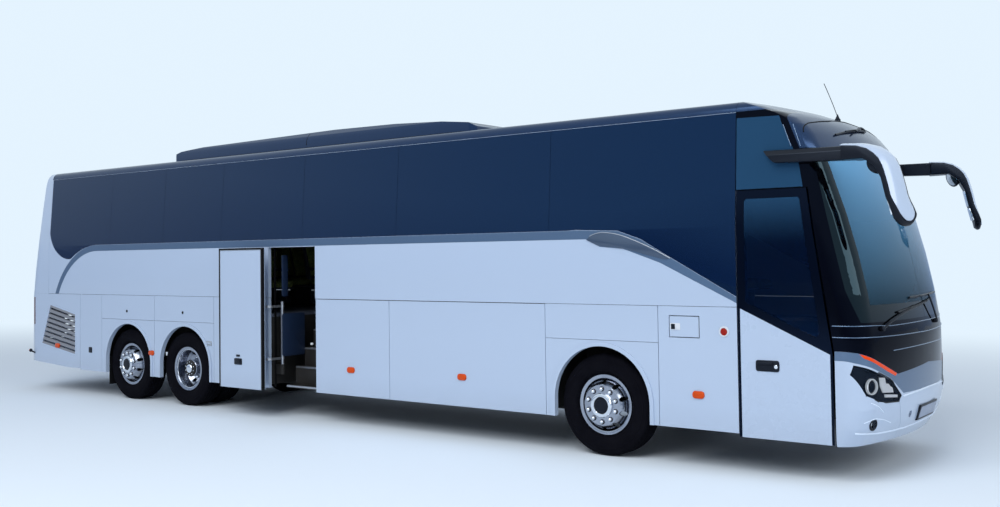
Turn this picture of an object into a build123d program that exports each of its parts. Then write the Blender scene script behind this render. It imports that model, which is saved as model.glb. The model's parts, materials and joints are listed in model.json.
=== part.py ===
"""A three-axle touring coach, modelled as separate panels, doors, flaps, axles and wheels.

Millimetres. +X is forward, +Y the coach's left, +Z up. The origin is on the ground, under the middle of the
coach's bounding box. Lengths along the coach are measured from the front axle and turned into X by at().
"""

from build123d import *
import math
import os

os.makedirs("parts", exist_ok=True)

# Driving dimensions: length and axles
front_axle_x = 4010
wheelbase = 6900
bogie_spacing = 1350
front_overhang = 2880
rear_overhang = 2820
drive_axle_x = front_axle_x - wheelbase
tag_axle_x = drive_axle_x - bogie_spacing
nose_x = front_axle_x + front_overhang
tail_x = tag_axle_x - rear_overhang

# Driving dimensions: cross-section
half_width = 1275
skirt_z = 380
rear_skirt_z = 460
seam_z = 1550
belt_z = 2220
belt_height = 90
glass_top_z = 3385
shoulder_half = 1193
shoulder_z = 3488
shoulder_radius = 110
roof_z = 3530
waist_z = belt_z + belt_height
floor_z = 1340
floor_thickness = 40

# Walls and gaps
wall = 50
glass = 10
flap_wall = 40
seal = 0.5
rest_gap = 0.3
panel_gap = 4
door_gap = 6
door_lead = 12
flap_gap = 8
hinge_rod = flap_gap / 2 - rest_gap
hinge_inset = 3

# Wheels
tyre_radius = 522
tyre_half_width = 149
tread_half_width = 118
bead_radius = 286
flange_radius = 307
wheel_plane_y = 1046
twin_spacing = 340
hub_z = tyre_radius
kingpin_y = 860
arch_radius = 562
arch_centre_z = 566


def at(ahead):
    """X of a place that lies so far ahead of the front axle."""
    return front_axle_x + ahead


sides = (("right", -1), ("left", 1))


def write(part, name):
    """Labels a finished sub-part and writes it as its own STEP file."""
    part.label = name
    export_step(part, f"parts/{name}.step")


# The body's cross-section and its two ends
body_low_z = 300


def section_sketch(x, inset):
    """The closed cross-section of the body at X, inset from the outer skin."""
    half, low, top = half_width - inset, body_low_z, roof_z - inset
    shoulder = (shoulder_half - inset, shoulder_z - inset)
    with BuildSketch(Plane.YZ.offset(x)) as section:
        with BuildLine():
            Polyline((-shoulder[0], shoulder[1]), (-half, waist_z), (-half, low), (half, low))
            Polyline((half, low), (half, waist_z), shoulder)
            ThreePointArc(shoulder, (0, top), (-shoulder[0], shoulder[1]))
        make_face()
        fillet(section.vertices().group_by(Axis.Y)[-1], max(shoulder_radius - inset, 30))
    return section.sketch


def side_y(z, inset):
    """Half-width of the body at a height, on the straight sides."""
    lean = max(0, z - waist_z) * (half_width - shoulder_half) / (shoulder_z - waist_z)
    return half_width - inset - lean


def strip_sketch(x, sign, low, high, outer, inner):
    """A strip of side wall at X, seen from the front, between two insets from the skin."""
    heights = [low, waist_z, high] if low < waist_z < high else [low, high]
    out = [(sign * side_y(z, outer), z) for z in heights]
    back = [(sign * side_y(z, inner), z) for z in reversed(heights)]
    with BuildSketch(Plane.YZ.offset(x)) as strip:
        with BuildLine():
            Polyline(*out, *back, close=True)
        make_face()
    return strip.sketch


# Each end is a stack of sheared slabs: one plan outline, moved along a side profile of lines and arcs.
def profile_points(curves):
    """Points along a side profile, from (curve, steps) rows, each curve cut into so many slabs."""
    points = []
    for curve, steps in curves:
        points += [curve @ (i / steps) for i in range(steps)]
    points.append(curves[-1][0] @ 1)
    return [(p.X, p.Y) for p in points]


# Front side profile on the centre line: (ahead of the nose, height)
chin = ThreePointArc((-135, skirt_z - 40), (-38, 510), (0, 850))
nose = Line((0, 850), (-4, 1300))
lower_screen = ThreePointArc((-4, 1300), (-85, 1800), (-235, 2400))
upper_screen = Line((-235, 2400), (-440, 3020))
brow = ThreePointArc((-440, 3020), (-550, 3210), (-770, 3360))
dome = ThreePointArc((-770, 3360), (-1080, 3470), (-1400, roof_z + 8))
front_curves = [(chin, 3), (nose, 1), (lower_screen, 3), (upper_screen, 1), (brow, 4), (dome, 3)]
front_profile = profile_points(front_curves)

# Rear side profile: (behind the rearmost point, height), leaning forward above the seam
tail = Line((0, rear_skirt_z - 60), (0, 1500))
lean_low = ThreePointArc((0, 1500), (50, 1850), (160, 2400))
lean_high = Line((160, 2400), (372, 3300))
rear_brow = ThreePointArc((372, 3300), (450, 3440), (700, roof_z + 8))
rear_profile = profile_points([(tail, 1), (lean_low, 2), (lean_high, 1), (rear_brow, 4)])

front_crown, front_corner = 3900, 260
rear_crown, rear_corner = 13600, 300
front_split = at(1515)
rear_split = at(-9460)
end_depth = 2300


def inset_points(points, inset):
    """A side profile moved inwards by an inset, square to itself."""
    moved = []
    for i, (x, z) in enumerate(points):
        x0, z0 = points[max(i - 1, 0)]
        x1, z1 = points[min(i + 1, len(points) - 1)]
        run = math.hypot(x1 - x0, z1 - z0)
        moved.append((x - inset * (z1 - z0) / run, z + inset * (x1 - x0) / run))
    return moved


def plan_sketch(z, tip, heading, inset):
    """A bowed end between two round corners, from above. heading is 1 at the front and -1 at the rear."""
    crown, corner = (front_crown, front_corner) if heading > 0 else (rear_crown, rear_corner)
    crown, corner, half = crown - inset, corner - inset, half_width - inset
    corner_y = half - corner
    reach = math.sqrt((crown - corner) ** 2 - corner_y**2)
    bow = (reach * crown / (crown - corner), corner_y * crown / (crown - corner))
    side_x = tip - heading * (crown - reach)
    edge_x = tip - heading * (crown - bow[0])
    knee = math.radians(45) + math.atan2(corner_y, reach) / 2
    mid = (side_x + heading * corner * math.cos(knee), corner_y + corner * math.sin(knee))
    back = tip - heading * end_depth
    with BuildSketch(Plane.XY.offset(z)) as plan:
        with BuildLine():
            ThreePointArc((edge_x, -bow[1]), (tip, 0), (edge_x, bow[1]))
            ThreePointArc((edge_x, bow[1]), mid, (side_x, half))
            Polyline((side_x, half), (back, half), (back, -half), (side_x, -half))
            ThreePointArc((side_x, -half), (mid[0], -mid[1]), (edge_x, -bow[1]))
        make_face()
    return plan.sketch


def end_points(heading, inset):
    """The side profile of an end in X and Z, inset, and carried down below the skirt where it is inset."""
    tip, profile = (nose_x, front_profile) if heading > 0 else (-tail_x, [(-x, z) for x, z in rear_profile])
    points = inset_points([(tip + x, z) for x, z in profile], inset)
    if inset:
        points[0] = (points[0][0], body_low_z - 20)
    return [(heading * x, z) for x, z in points]


def end_solid(heading, inset):
    """One end of the body as a closed solid, inset from the skin, as far as its split plane."""
    points = end_points(heading, inset)
    with BuildPart() as solid:
        for (x0, z0), (x1, z1) in zip(points, points[1:]):
            plan = plan_sketch(z0, x0, heading, inset)
            extrude(plan, amount=math.hypot(x1 - x0, z1 - z0), dir=(x1 - x0, 0, z1 - z0))
        split_x = front_split if heading > 0 else rear_split
        extrude(section_sketch(split_x, inset), amount=heading * 3000, mode=Mode.INTERSECT)
    return solid.part


def end_shell(heading, thickness):
    """The hollow skin of one end, as thick as a wall or a pane."""
    with BuildPart() as shell:
        add(end_solid(heading, 0))
        add(end_solid(heading, thickness), mode=Mode.SUBTRACT)
    return shell.part


front_wall, front_pane = end_shell(1, wall), end_shell(1, glass)
rear_wall, rear_pane = end_shell(-1, wall), end_shell(-1, glass)


# Outlines and the prisms that cut panels with them
def outline(plane, points, grow=0.0, radius=0.0):
    """A closed outline of straight runs on a plane, grown by a gap and rounded at its corners."""
    with BuildSketch(plane) as sketch:
        with BuildLine():
            Polyline(*points, close=True)
        make_face()
        if radius:
            fillet(sketch.vertices(), radius)
        if grow:
            offset(amount=grow, kind=Kind.INTERSECTION)
    return sketch.sketch


def beside(points, grow=0.0, radius=0.0):
    """An outline in side view, from (ahead of the front axle, height) points."""
    return outline(Plane.XZ, [(at(x), z) for x, z in points], grow, radius)


def flat(points, grow=0.0, radius=0.0):
    """An outline in the sketch's own plane, to be added inside an open BuildSketch."""
    return outline(Plane.XY, points, grow, radius)


def facing(points, grow=0.0, radius=0.0):
    """An outline in front view, from (to one side, height) points, drawn on the plane X = 0."""
    return outline(Plane.YZ, points, grow, radius)


def both_halves(points):
    """A half outline in front view, from the middle outwards and back, made whole by its mirror image."""
    return points + [(-y, z) for y, z in reversed(points) if y]


reach = 9000
side_reach = 1600


# Side view outlines, (ahead of the front axle, height)
front_door_from, front_door_to = 1521, 2410
front_door_top = 2640
front_door_low = 350
front_door_outline = [
    (front_door_from, front_door_low),
    (front_door_to, front_door_low),
    (front_door_to, 1150),
    (2194, front_door_top),
    (front_door_from, front_door_top),
]
door_opening_outline = [(x + door_lead if x > front_door_from else x, z) for x, z in front_door_outline]
door_opening_to = front_door_to + door_lead + door_gap
door_window_outline = [(1600, 2560), (2130, 2560), (2300, 1330), (2260, 1290), (1600, 1600)]
over_door_outline = [
    (front_door_from, 2652),
    (2165, 2652),
    (2120, 2900),
    (1965, 3240),
    (1940, 3320),
    (front_door_from, 3330),
]
dome_outline = [(1400, 3391), (1975, 3391), (2135, 3003), (3000, 3003), (3000, 3700), (1400, 3700)]
screen_low, screen_top = 1430, 3002
screen_outline = [
    (2640, screen_low),
    (2524, 1720),
    (2269, 2840),
    (2235, screen_top),
    (3000, screen_top),
    (3000, screen_low),
]

# Front view outlines, (to one side, height)
silver_top = [(0, 1003), (733, 953), (1230, 1166), (1300, 1184)]
silver_low = [(1300, 1112), (1245, 1080), (860, 925), (640, 772), (0, 772)]
silver_outline = both_halves(silver_top + silver_low)
low_front_outline = both_halves([(0, 1003), (733, 953), (1230, 1166), (1400, 1214), (1400, 0), (0, 0)])
amber_outline = [(1222, 1160), (748, 958), (775, 938), (900, 986), (1195, 1120)]
headlamp_outline = [
    (1250, 1062),
    (1262, 978),
    (1190, 795),
    (1060, 735),
    (948, 716),
    (735, 706),
    (690, 757),
    (850, 905),
]
headlamp_beside = [(2552, 1075), (2530, 978), (2655, 790), (2720, 690), (3000, 690), (3000, 1075)]
bumper_seam = [(728, 700), (585, 420), (540, 300)]
fog_lamp = (1082, 531)
fog_radius = 46
tow_y, tow_z, tow_bore, tow_depth, tow_wall = -450, 560, 36, 80, 14


with BuildPart() as front_mask:
    add(front_wall)
    for outline_points in (dome_outline, screen_outline, over_door_outline):
        extrude(beside(outline_points, seal), amount=side_reach, both=True, mode=Mode.SUBTRACT)
    extrude(beside(door_opening_outline, door_gap), amount=side_reach, both=True, mode=Mode.SUBTRACT)
    extrude(facing(low_front_outline, seal), amount=reach, mode=Mode.SUBTRACT)
write(front_mask.part, "front_mask")

with BuildPart() as front_dome:
    add(front_wall)
    extrude(beside(dome_outline), amount=side_reach, both=True, mode=Mode.INTERSECT)
write(front_dome.part, "front_dome")

with BuildPart() as windscreen:
    add(front_pane)
    extrude(beside(screen_outline), amount=side_reach, both=True, mode=Mode.INTERSECT)
    Box(reach * 2, panel_gap, reach, mode=Mode.SUBTRACT)
write(windscreen.part, "windscreen")

with BuildPart() as silver_wing:
    add(front_wall)
    extrude(facing(silver_outline), amount=reach, mode=Mode.INTERSECT)
    for sign in (1, -1):
        extrude(facing([(sign * y, z) for y, z in amber_outline], seal), amount=reach, mode=Mode.SUBTRACT)
    with BuildSketch(Plane.XZ):
        with Locations((at(door_opening_to), 0)):
            Rectangle(3000, 3000, align=(Align.MIN, Align.MIN))
    extrude(amount=side_reach, both=True, mode=Mode.INTERSECT)
write(silver_wing.part, "silver_wing")

with BuildPart() as front_indicators:
    add(front_wall)
    with BuildSketch(Plane.YZ):
        for sign in (1, -1):
            add(flat([(sign * y, z) for y, z in amber_outline]))
    extrude(amount=reach, mode=Mode.INTERSECT)
write(front_indicators.part, "front_indicators")


def headlamp_block(gap):
    """Both headlamps and fog lamps as blocks that cross the wall, grown by a gap."""
    with BuildPart() as block:
        extrude(facing([(-y, z) for y, z in headlamp_outline], gap), amount=reach)
        extrude(beside(headlamp_beside, gap), amount=side_reach, both=True, mode=Mode.INTERSECT)
        with BuildSketch(Plane.YZ.offset(at(2500))):
            with Locations((-fog_lamp[0], fog_lamp[1])):
                Circle(fog_radius + gap)
        extrude(amount=500)
        mirror(about=Plane.XZ)
    return block.part


with BuildPart() as headlamps:
    add(front_wall)
    add(headlamp_block(0), mode=Mode.INTERSECT)
    split(bisect_by=Plane.XZ, keep=Keep.TOP)
    mirror(about=Plane.XZ)
write(headlamps.part, "headlamps")

with BuildPart() as front_bumper:
    add(front_wall)
    with BuildSketch(Plane.YZ):
        add(flat(low_front_outline))
        add(flat(silver_outline, seal), mode=Mode.SUBTRACT)
        for sign in (1, -1):
            seam = [(sign * y, z) for y, z in bumper_seam]
            slot = seam + [(y + panel_gap, z) for y, z in reversed(seam)]
            add(flat(slot), mode=Mode.SUBTRACT)
    extrude(amount=reach, mode=Mode.INTERSECT)
    with BuildSketch(Plane.XZ):
        with Locations((at(door_opening_to), 0)):
            Rectangle(3000, 3000, align=(Align.MIN, Align.MIN))
    extrude(amount=side_reach, both=True, mode=Mode.INTERSECT)
    add(headlamp_block(seal), mode=Mode.SUBTRACT)
    with BuildSketch(Plane.YZ.offset(at(2500))):
        with Locations((tow_y, tow_z)):
            Circle(tow_bore / 2 + tow_wall + seal)
    extrude(amount=500, mode=Mode.SUBTRACT)
write(front_bumper.part, "front_bumper")


def door_frame(sign):
    """The front door's leaf, or the driver's side panel opposite: the whole wall with its window cut."""
    leaf_outline = beside(door_opening_outline, door_gap - seal) if sign > 0 else beside(front_door_outline)
    with BuildPart() as leaf:
        add(front_wall)
        extrude(leaf_outline, amount=-sign * side_reach, mode=Mode.INTERSECT)
        extrude(beside(door_window_outline, 0, 30), amount=-sign * side_reach, mode=Mode.SUBTRACT)
    return leaf.part


write(door_frame(1), "driver_side_panel")


def door_pane(sign):
    """The pane in the front door, or the driver's window opposite."""
    with BuildPart() as pane:
        add(front_pane)
        extrude(beside(door_window_outline, -seal, 30), amount=-sign * side_reach, mode=Mode.INTERSECT)
    return pane.part


write(door_pane(-1), "front_door_glass")

with BuildPart() as cab_panes:
    add(front_pane)
    extrude(beside(over_door_outline), amount=side_reach, both=True, mode=Mode.INTERSECT)
    add(door_pane(1))
write(cab_panes.part, "cab_panes")


# Rear end
grille_outline = [(-10330, 1400), (-9580, 1256), (-9580, 584), (-10600, 731)]
rear_seam = -10368
lamp_edge = -10772
lamp_low, lamp_high = 1050, 1490
lamp_inner = 1045
bumper_high = 760
lid_half, lid_low, lid_high = 900, 796, 1493
rear_glass_half, rear_glass_low, rear_glass_high, rear_glass_corner = 960, 2330, 3130, 90
behind = -11300
cap_outline = [
    (rear_seam, 3700),
    (rear_seam, seam_z + seal),
    (lamp_edge, seam_z + seal),
    (lamp_edge, bumper_high + seal),
    (behind, bumper_high + seal),
    (behind, 3700),
]
bumper_outline = [
    (lamp_edge, rear_skirt_z),
    (behind, rear_skirt_z),
    (behind, bumper_high),
    (lamp_edge, bumper_high),
]
quarter_outline = [
    (-9463, skirt_z),
    (lamp_edge + seal, rear_skirt_z),
    (lamp_edge + seal, seam_z),
    (-9463, seam_z),
]


def rear_rect(half, low, high, grow=0.0, radius=0.0):
    """A rectangle in the rear view, as the outline that cuts or keeps a panel there."""
    return facing([(-half, low), (half, low), (half, high), (-half, high)], grow, radius)


def lamp_sketch(grow):
    """Both tail lamps in the rear view, each past the side of the body, grown by a gap."""
    past = 1300
    with BuildSketch(Plane.YZ) as lamps:
        with Locations((-past, (lamp_low + lamp_high) / 2), (past, (lamp_low + lamp_high) / 2)):
            Rectangle(2 * (past - lamp_inner + grow), lamp_high - lamp_low + 2 * grow)
    return lamps.sketch


with BuildPart() as rear_cap:
    add(rear_wall)
    extrude(beside(cap_outline), amount=side_reach, both=True, mode=Mode.INTERSECT)
    extrude(rear_rect(lid_half, lid_low, lid_high, flap_gap), amount=-reach, mode=Mode.SUBTRACT)
    rear_pane_hole = rear_rect(rear_glass_half, rear_glass_low, rear_glass_high, seal, rear_glass_corner)
    extrude(rear_pane_hole, amount=-reach, mode=Mode.SUBTRACT)
    extrude(lamp_sketch(seal), amount=-reach, mode=Mode.SUBTRACT)
write(rear_cap.part, "rear_cap")

with BuildPart() as tail_lamps:
    add(rear_wall)
    extrude(lamp_sketch(0), amount=-reach, mode=Mode.INTERSECT)
    behind_lamp_edge = beside([(lamp_edge, 0), (behind, 0), (behind, 3000), (lamp_edge, 3000)])
    extrude(behind_lamp_edge, amount=side_reach, both=True, mode=Mode.INTERSECT)
write(tail_lamps.part, "tail_lamps")

louvre_count, louvre_half, louvre_low, louvre_pitch, louvre_slot = 7, 620, 860, 48, 22
with BuildPart() as engine_lid:
    add(rear_wall)
    extrude(rear_rect(lid_half, lid_low, lid_high), amount=-reach, mode=Mode.INTERSECT)
    with BuildSketch(Plane.YZ):
        for i in range(louvre_count):
            with Locations((0, louvre_low + i * louvre_pitch)):
                Rectangle(2 * louvre_half, louvre_slot)
    extrude(amount=-reach, mode=Mode.SUBTRACT)
write(engine_lid.part, "engine_lid")

with BuildPart() as rear_window:
    add(rear_pane)
    rear_pane_outline = rear_rect(rear_glass_half, rear_glass_low, rear_glass_high, 0, rear_glass_corner)
    extrude(rear_pane_outline, amount=-reach, mode=Mode.INTERSECT)
write(rear_window.part, "rear_window")

with BuildPart() as rear_bumper:
    add(rear_wall)
    extrude(beside(bumper_outline), amount=side_reach, both=True, mode=Mode.INTERSECT)
write(rear_bumper.part, "rear_bumper")

with BuildPart() as rear_quarters:
    add(rear_wall)
    extrude(beside(quarter_outline), amount=side_reach, both=True, mode=Mode.INTERSECT)
    extrude(beside(grille_outline, seal), amount=side_reach, both=True, mode=Mode.SUBTRACT)
write(rear_quarters.part, "rear_quarter_panels")

grille_frame, grille_depth, slat_count, slat_share = 26, 30, 9, 0.62


def between(low, high, share):
    """A point between two points."""
    return tuple(a + (b - a) * share for a, b in zip(low, high))


with BuildPart() as side_grilles:
    with BuildSketch(Plane.XZ.offset(half_width - grille_depth)):
        add(flat([(at(x), z) for x, z in grille_outline]))
        add(flat([(at(x), z) for x, z in grille_outline], -grille_frame), mode=Mode.SUBTRACT)
        top_back, top_front, low_front, low_back = grille_outline
        for i in range(slat_count):
            low, high = (i + 0.5 - slat_share / 2) / slat_count, (i + 0.5 + slat_share / 2) / slat_count
            slat = [
                between(low_back, top_back, low),
                between(low_front, top_front, low),
                between(low_front, top_front, high),
                between(low_back, top_back, high),
            ]
            add(flat([(at(x), z) for x, z in slat]))
    extrude(amount=grille_depth)
    mirror(about=Plane.XZ)
write(side_grilles.part, "side_grilles")


# Sides between the two ends
side_from, side_to = rear_seam + 3, 1512
hinge_z = seam_z
window_seams = [-8670, -7340, -6030, -4410, -2790, -600]
window_low, window_high = 2385, 3290
post_half = 55
fin_top = [(-250, waist_z + 4), (240, 2295), (500, 2207), (820, 2026), (side_to, 1645)]
fin_low = [(side_to, 1590), (720, 1971), (300, 2117), (30, 2140), (-140, belt_z)]
belt_bend = -9000
belt_drop_radius = 1288
mid_door_from, mid_door_to = -5054, -4170
mid_door_top = 2212


def belt_arc(radius):
    """The end point and middle point of the belt's curve down to the seam, for its upper or lower edge."""
    centre_z = waist_z - belt_drop_radius
    turn = math.acos((seam_z + 4 - centre_z) / radius)
    point = [(belt_bend - radius * math.sin(t), centre_z + radius * math.cos(t)) for t in (turn / 2, turn)]
    return [(at(x), z) for x, z in point]


def belt_sketch(plane, grow=0.0):
    """The belt strip in side view: the fin at the front, the straight run and the curve down at the rear."""
    upper, lower = belt_drop_radius, belt_drop_radius - belt_height
    with BuildSketch(plane) as belt:
        with BuildLine():
            mid, end = belt_arc(upper)
            mid_low, end_low = belt_arc(lower)
            ThreePointArc((at(belt_bend), waist_z), mid, end)
            Line(end, end_low)
            ThreePointArc(end_low, mid_low, (at(belt_bend), belt_z))
            Polyline((at(belt_bend), belt_z), *[(at(x), z) for x, z in reversed(fin_low)])
            Line((at(fin_low[0][0]), fin_low[0][1]), (at(side_to), fin_top[-1][1]))
            Polyline(*[(at(x), z) for x, z in reversed(fin_top)], (at(-400), waist_z))
            Line((at(-400), waist_z), (at(belt_bend), waist_z))
        make_face()
        if grow:
            offset(amount=grow)
    return belt.sketch


def glazing_sketch(plane, grow=0.0):
    """The dark glazing in side view, over the belt and round its rear tip."""
    low = waist_z + 3
    tip, back = (at(-9730), 2102), (at(-10350), 2520)
    fin_edge = [(at(x), z + 4) for x, z in fin_top]
    with BuildSketch(plane) as band:
        with BuildLine():
            Polyline((at(belt_bend), low), (at(-400), low), *fin_edge)
            Polyline(fin_edge[-1], (at(side_to), glass_top_z), (back[0], glass_top_z), back)
            ThreePointArc(back, (at(-10130), 2215), tip)
            ThreePointArc(tip, (at(-9380), 2257), (at(belt_bend), low))
        make_face()
        if grow:
            offset(amount=grow)
    return band.sketch


def side_layer(sign, low, high, outer, inner):
    """A layer of the straight side between two heights and two insets, from the rear seam to the door."""
    strip = strip_sketch(at(side_from), sign, low, high, outer, inner)
    with BuildPart() as layer:
        extrude(strip, amount=side_to - side_from)
    return layer.part


belt_depth = 8
with BuildPart() as side_glass:
    add(side_layer(-1, 1560, glass_top_z + 1, 0, glass))
    extrude(glazing_sketch(Plane.XZ), amount=side_reach, mode=Mode.INTERSECT)
    with BuildSketch(Plane.XZ):
        for x in window_seams:
            with Locations((at(x), 2700)):
                Rectangle(panel_gap, 2000)
    extrude(amount=side_reach, mode=Mode.SUBTRACT)
    mirror(about=Plane.XZ)
write(side_glass.part, "side_glass")

with BuildPart() as belt_strips:
    add(side_layer(-1, hinge_z + flap_gap / 2, glass_top_z, 0, belt_depth))
    extrude(belt_sketch(Plane.XZ), amount=side_reach, mode=Mode.INTERSECT)
    mirror(about=Plane.XZ)
write(belt_strips.part, "belt_strips")

with BuildPart() as glass_pocket:
    add(side_layer(-1, 1555, glass_top_z + 1, -1, glass + seal))
    extrude(glazing_sketch(Plane.XZ, seal), amount=side_reach, mode=Mode.INTERSECT)
with BuildPart() as belt_pocket:
    add(side_layer(-1, seam_z - 10, glass_top_z, -1, belt_depth + seal))
    extrude(belt_sketch(Plane.XZ, seal), amount=side_reach, mode=Mode.INTERSECT)

rear_window_outline = [
    (-10290, window_high),
    (-8670 - post_half, window_high),
    (-8670 - post_half, window_low),
    (-9150, window_low),
    (-10080, 2385),
    (-10290, 2600),
]
fin_window_outline = [
    (-600 + post_half, window_high),
    (1450, window_high),
    (1450, 1790),
    (840, 2110),
    (520, 2290),
    (240, window_low),
    (-600 + post_half, window_low),
]
with BuildPart() as side_walls:
    add(side_layer(-1, hinge_z + flap_gap / 2, glass_top_z + 3, 0, wall))
    add(glass_pocket.part, mode=Mode.SUBTRACT)
    add(belt_pocket.part, mode=Mode.SUBTRACT)
    with BuildSketch(Plane.XZ):
        for rear, front in zip(window_seams, window_seams[1:]):
            with Locations((at((rear + front) / 2), (window_low + window_high) / 2)):
                RectangleRounded(front - rear - 2 * post_half, window_high - window_low, 60)
        add(flat([(at(x), z) for x, z in rear_window_outline]))
        add(flat([(at(x), z) for x, z in fin_window_outline]))
    extrude(amount=side_reach, mode=Mode.SUBTRACT)
    mirror(about=Plane.XZ)
    with BuildSketch(Plane.XZ):
        with Locations((at(mid_door_from), 0)):
            Rectangle(mid_door_to - mid_door_from, mid_door_top, align=(Align.MIN, Align.MIN))
    extrude(amount=side_reach, mode=Mode.SUBTRACT)
write(side_walls.part, "side_walls")

hatch, curb_width, hatch_thickness, hatch_lift = 700, 60, 30, 2
hatch_hinge_half, hatch_hinge_block, hatch_hinge_back = 240, 50, 5
hatch_places = {"front": 300, "rear": -9050}
with BuildPart() as roof_shell:
    extrude(section_sketch(at(side_from), 0), amount=side_to - side_from)
    extrude(section_sketch(at(side_from), wall), amount=side_to - side_from, mode=Mode.SUBTRACT)
    with Locations((at((side_from + side_to) / 2), 0, 0)):
        Box(side_to - side_from + 100, 3000, 2 * (glass_top_z + 6), mode=Mode.SUBTRACT)
    for shrink, mode in ((40, Mode.ADD), (40 + curb_width, Mode.SUBTRACT)):
        with BuildSketch(Plane.XY.offset(roof_z - wall - 5)):
            for x in hatch_places.values():
                with Locations((at(x), 0)):
                    RectangleRounded(hatch - shrink, hatch - shrink, 50)
        extrude(amount=wall + 5 + hatch_lift - rest_gap, mode=mode)
write(roof_shell.part, "roof_shell")


# Lower sides: fixed panels, round arches with lips, and the luggage flaps between them
axle_places = {"front": 17, "drive": -6832, "tag": -8185}
small_flap_z = 1190
lip_width, lip_stand = 42, 12
fixed_rows = (  # from, to, the axle whose arch is cut
    (-9460, -8870, None),
    (-8870, -7535, "tag"),
    (-7535, -6180, "drive"),
    (-6180, mid_door_from, None),
    (-662, 682, "front"),
    (682, 1515, None),
)
fuel_flap_outline = [(810, 1255), (1120, 1255), (1120, 1453), (810, 1453)]
fuel_flap_depth = 22
lid_hinge_half = 260
flap_rows = {"right": [(-4170, -2907), (-2907, -662)], "left": [(-5054, -2907), (-2907, -662)]}


def arch_sketch(place, grow):
    """An arch opening in the sketch's own plane: a half round over straight legs."""
    radius = arch_radius + grow
    with BuildSketch() as arch:
        with Locations((at(place), arch_centre_z)):
            Circle(radius)
        with Locations((at(place), arch_centre_z / 2)):
            Rectangle(2 * radius, arch_centre_z)
    return arch.sketch


with BuildPart() as skirt_panels:
    for rear, front, arch in fixed_rows:
        with BuildSketch(Plane.XZ.offset(half_width - wall)):
            with Locations((at(rear + 3), skirt_z)):
                Rectangle(front - rear - 6, seam_z - skirt_z, align=(Align.MIN, Align.MIN))
            if arch:
                add(arch_sketch(axle_places[arch], 0), mode=Mode.SUBTRACT)
                with Locations((at((rear + front) / 2), small_flap_z)):
                    Rectangle(front - rear, panel_gap, mode=Mode.SUBTRACT)
        extrude(amount=wall)
        if arch:
            with BuildSketch(Plane.XZ.offset(half_width)):
                add(arch_sketch(axle_places[arch], lip_width))
                add(arch_sketch(axle_places[arch], 0), mode=Mode.SUBTRACT)
                with Locations((at(axle_places[arch]), 0)):
                    Rectangle(3 * arch_radius, 2 * skirt_z, mode=Mode.SUBTRACT)
            extrude(amount=lip_stand)
    mirror(about=Plane.XZ)
    with BuildSketch(Plane.XZ):
        add(flat([(at(x), z) for x, z in fuel_flap_outline], flap_gap))
    extrude(amount=side_reach, mode=Mode.SUBTRACT)
write(skirt_panels.part, "skirt_panels")

with BuildPart() as fuel_flap:
    with BuildSketch(Plane.XZ.offset(half_width - fuel_flap_depth)):
        add(flat([(at(x), z) for x, z in fuel_flap_outline]))
    extrude(amount=fuel_flap_depth)
write(fuel_flap.part, "fuel_flap")

for name, sign in sides:
    for place, (rear, front) in zip(("rear", "front"), flap_rows[name]):
        with BuildPart() as luggage_flap:
            with BuildSketch(Plane.XZ.offset(-sign * (half_width - flap_wall))):
                back = rear + 10 if rear == mid_door_to else rear + 3
                with Locations((at(back), skirt_z)):
                    flap_high = hinge_z - flap_gap / 2
                    Rectangle(front - 3 - back, flap_high - skirt_z, align=(Align.MIN, Align.MIN))
            extrude(amount=-sign * flap_wall)
        write(luggage_flap.part, f"luggage_flap_{place}_{name}")

with BuildPart() as hatch_hinges:
    height = roof_z + hatch_lift + hatch_thickness / 2
    for place in hatch_places.values():
        rear_edge = at(place) - hatch / 2
        with BuildSketch(Plane.XZ.offset(-hatch_hinge_half)):
            with Locations((rear_edge - flap_gap / 2, height)):
                Circle(hinge_rod)
        extrude(amount=2 * hatch_hinge_half)
        with BuildSketch(Plane.XY.offset(roof_z - 40)):
            block_y = hatch_hinge_half - 40
            with Locations((rear_edge - hatch_hinge_back, -block_y), (rear_edge - hatch_hinge_back, block_y)):
                Rectangle(hatch_hinge_block, 60, align=(Align.MAX, Align.CENTER))
        extrude(amount=height - roof_z + 40)
    extrude(section_sketch(at(side_from), -rest_gap), amount=side_to - side_from, mode=Mode.SUBTRACT)

with BuildPart() as flap_hinges:
    for name, sign in sides:
        for rear, front in flap_rows[name]:
            with BuildSketch(Plane.YZ.offset(at(rear + 40))):
                with Locations((sign * (half_width - hinge_inset), hinge_z)):
                    Circle(hinge_rod)
            extrude(amount=front - rear - 80)
    with BuildSketch(Plane.XZ.offset(-lid_hinge_half)):
        with Locations((tail_x + hinge_inset, lid_high + flap_gap / 2)):
            Circle(hinge_rod)
    extrude(amount=2 * lid_hinge_half)
    with BuildSketch(Plane.XY.offset(fuel_flap_outline[0][1])):
        with Locations((at(fuel_flap_outline[1][0] + flap_gap / 2), hinge_inset - half_width)):
            Circle(hinge_rod)
    extrude(amount=fuel_flap_outline[2][1] - fuel_flap_outline[0][1])
    add(hatch_hinges.part)
write(flap_hinges.part, "flap_hinges")

# Mid door: a leaf that swings out and back on two cranked arms, standing open
arm_length = 432
arm_root_y, arm_tip_inset = 1130, 20
open_out = 240
mid_column = (at(-4950), -arm_root_y)
closed_step = half_width - wall - arm_tip_inset - arm_root_y
closed_reach = math.sqrt(arm_length**2 - closed_step**2)
open_reach = math.sqrt(arm_length**2 - (closed_step + open_out) ** 2)
travel = closed_reach + open_reach
leaf_low, leaf_high = 384, 2204
leaf_rear_gap = 20
arm_heights = (760, 1440)
arm_bar, column_radius = 30, 22
pin_radius = 8
plate, plate_gap = 12, 1
socket_low, socket_high, socket_radius = 560, 680, 34


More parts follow.
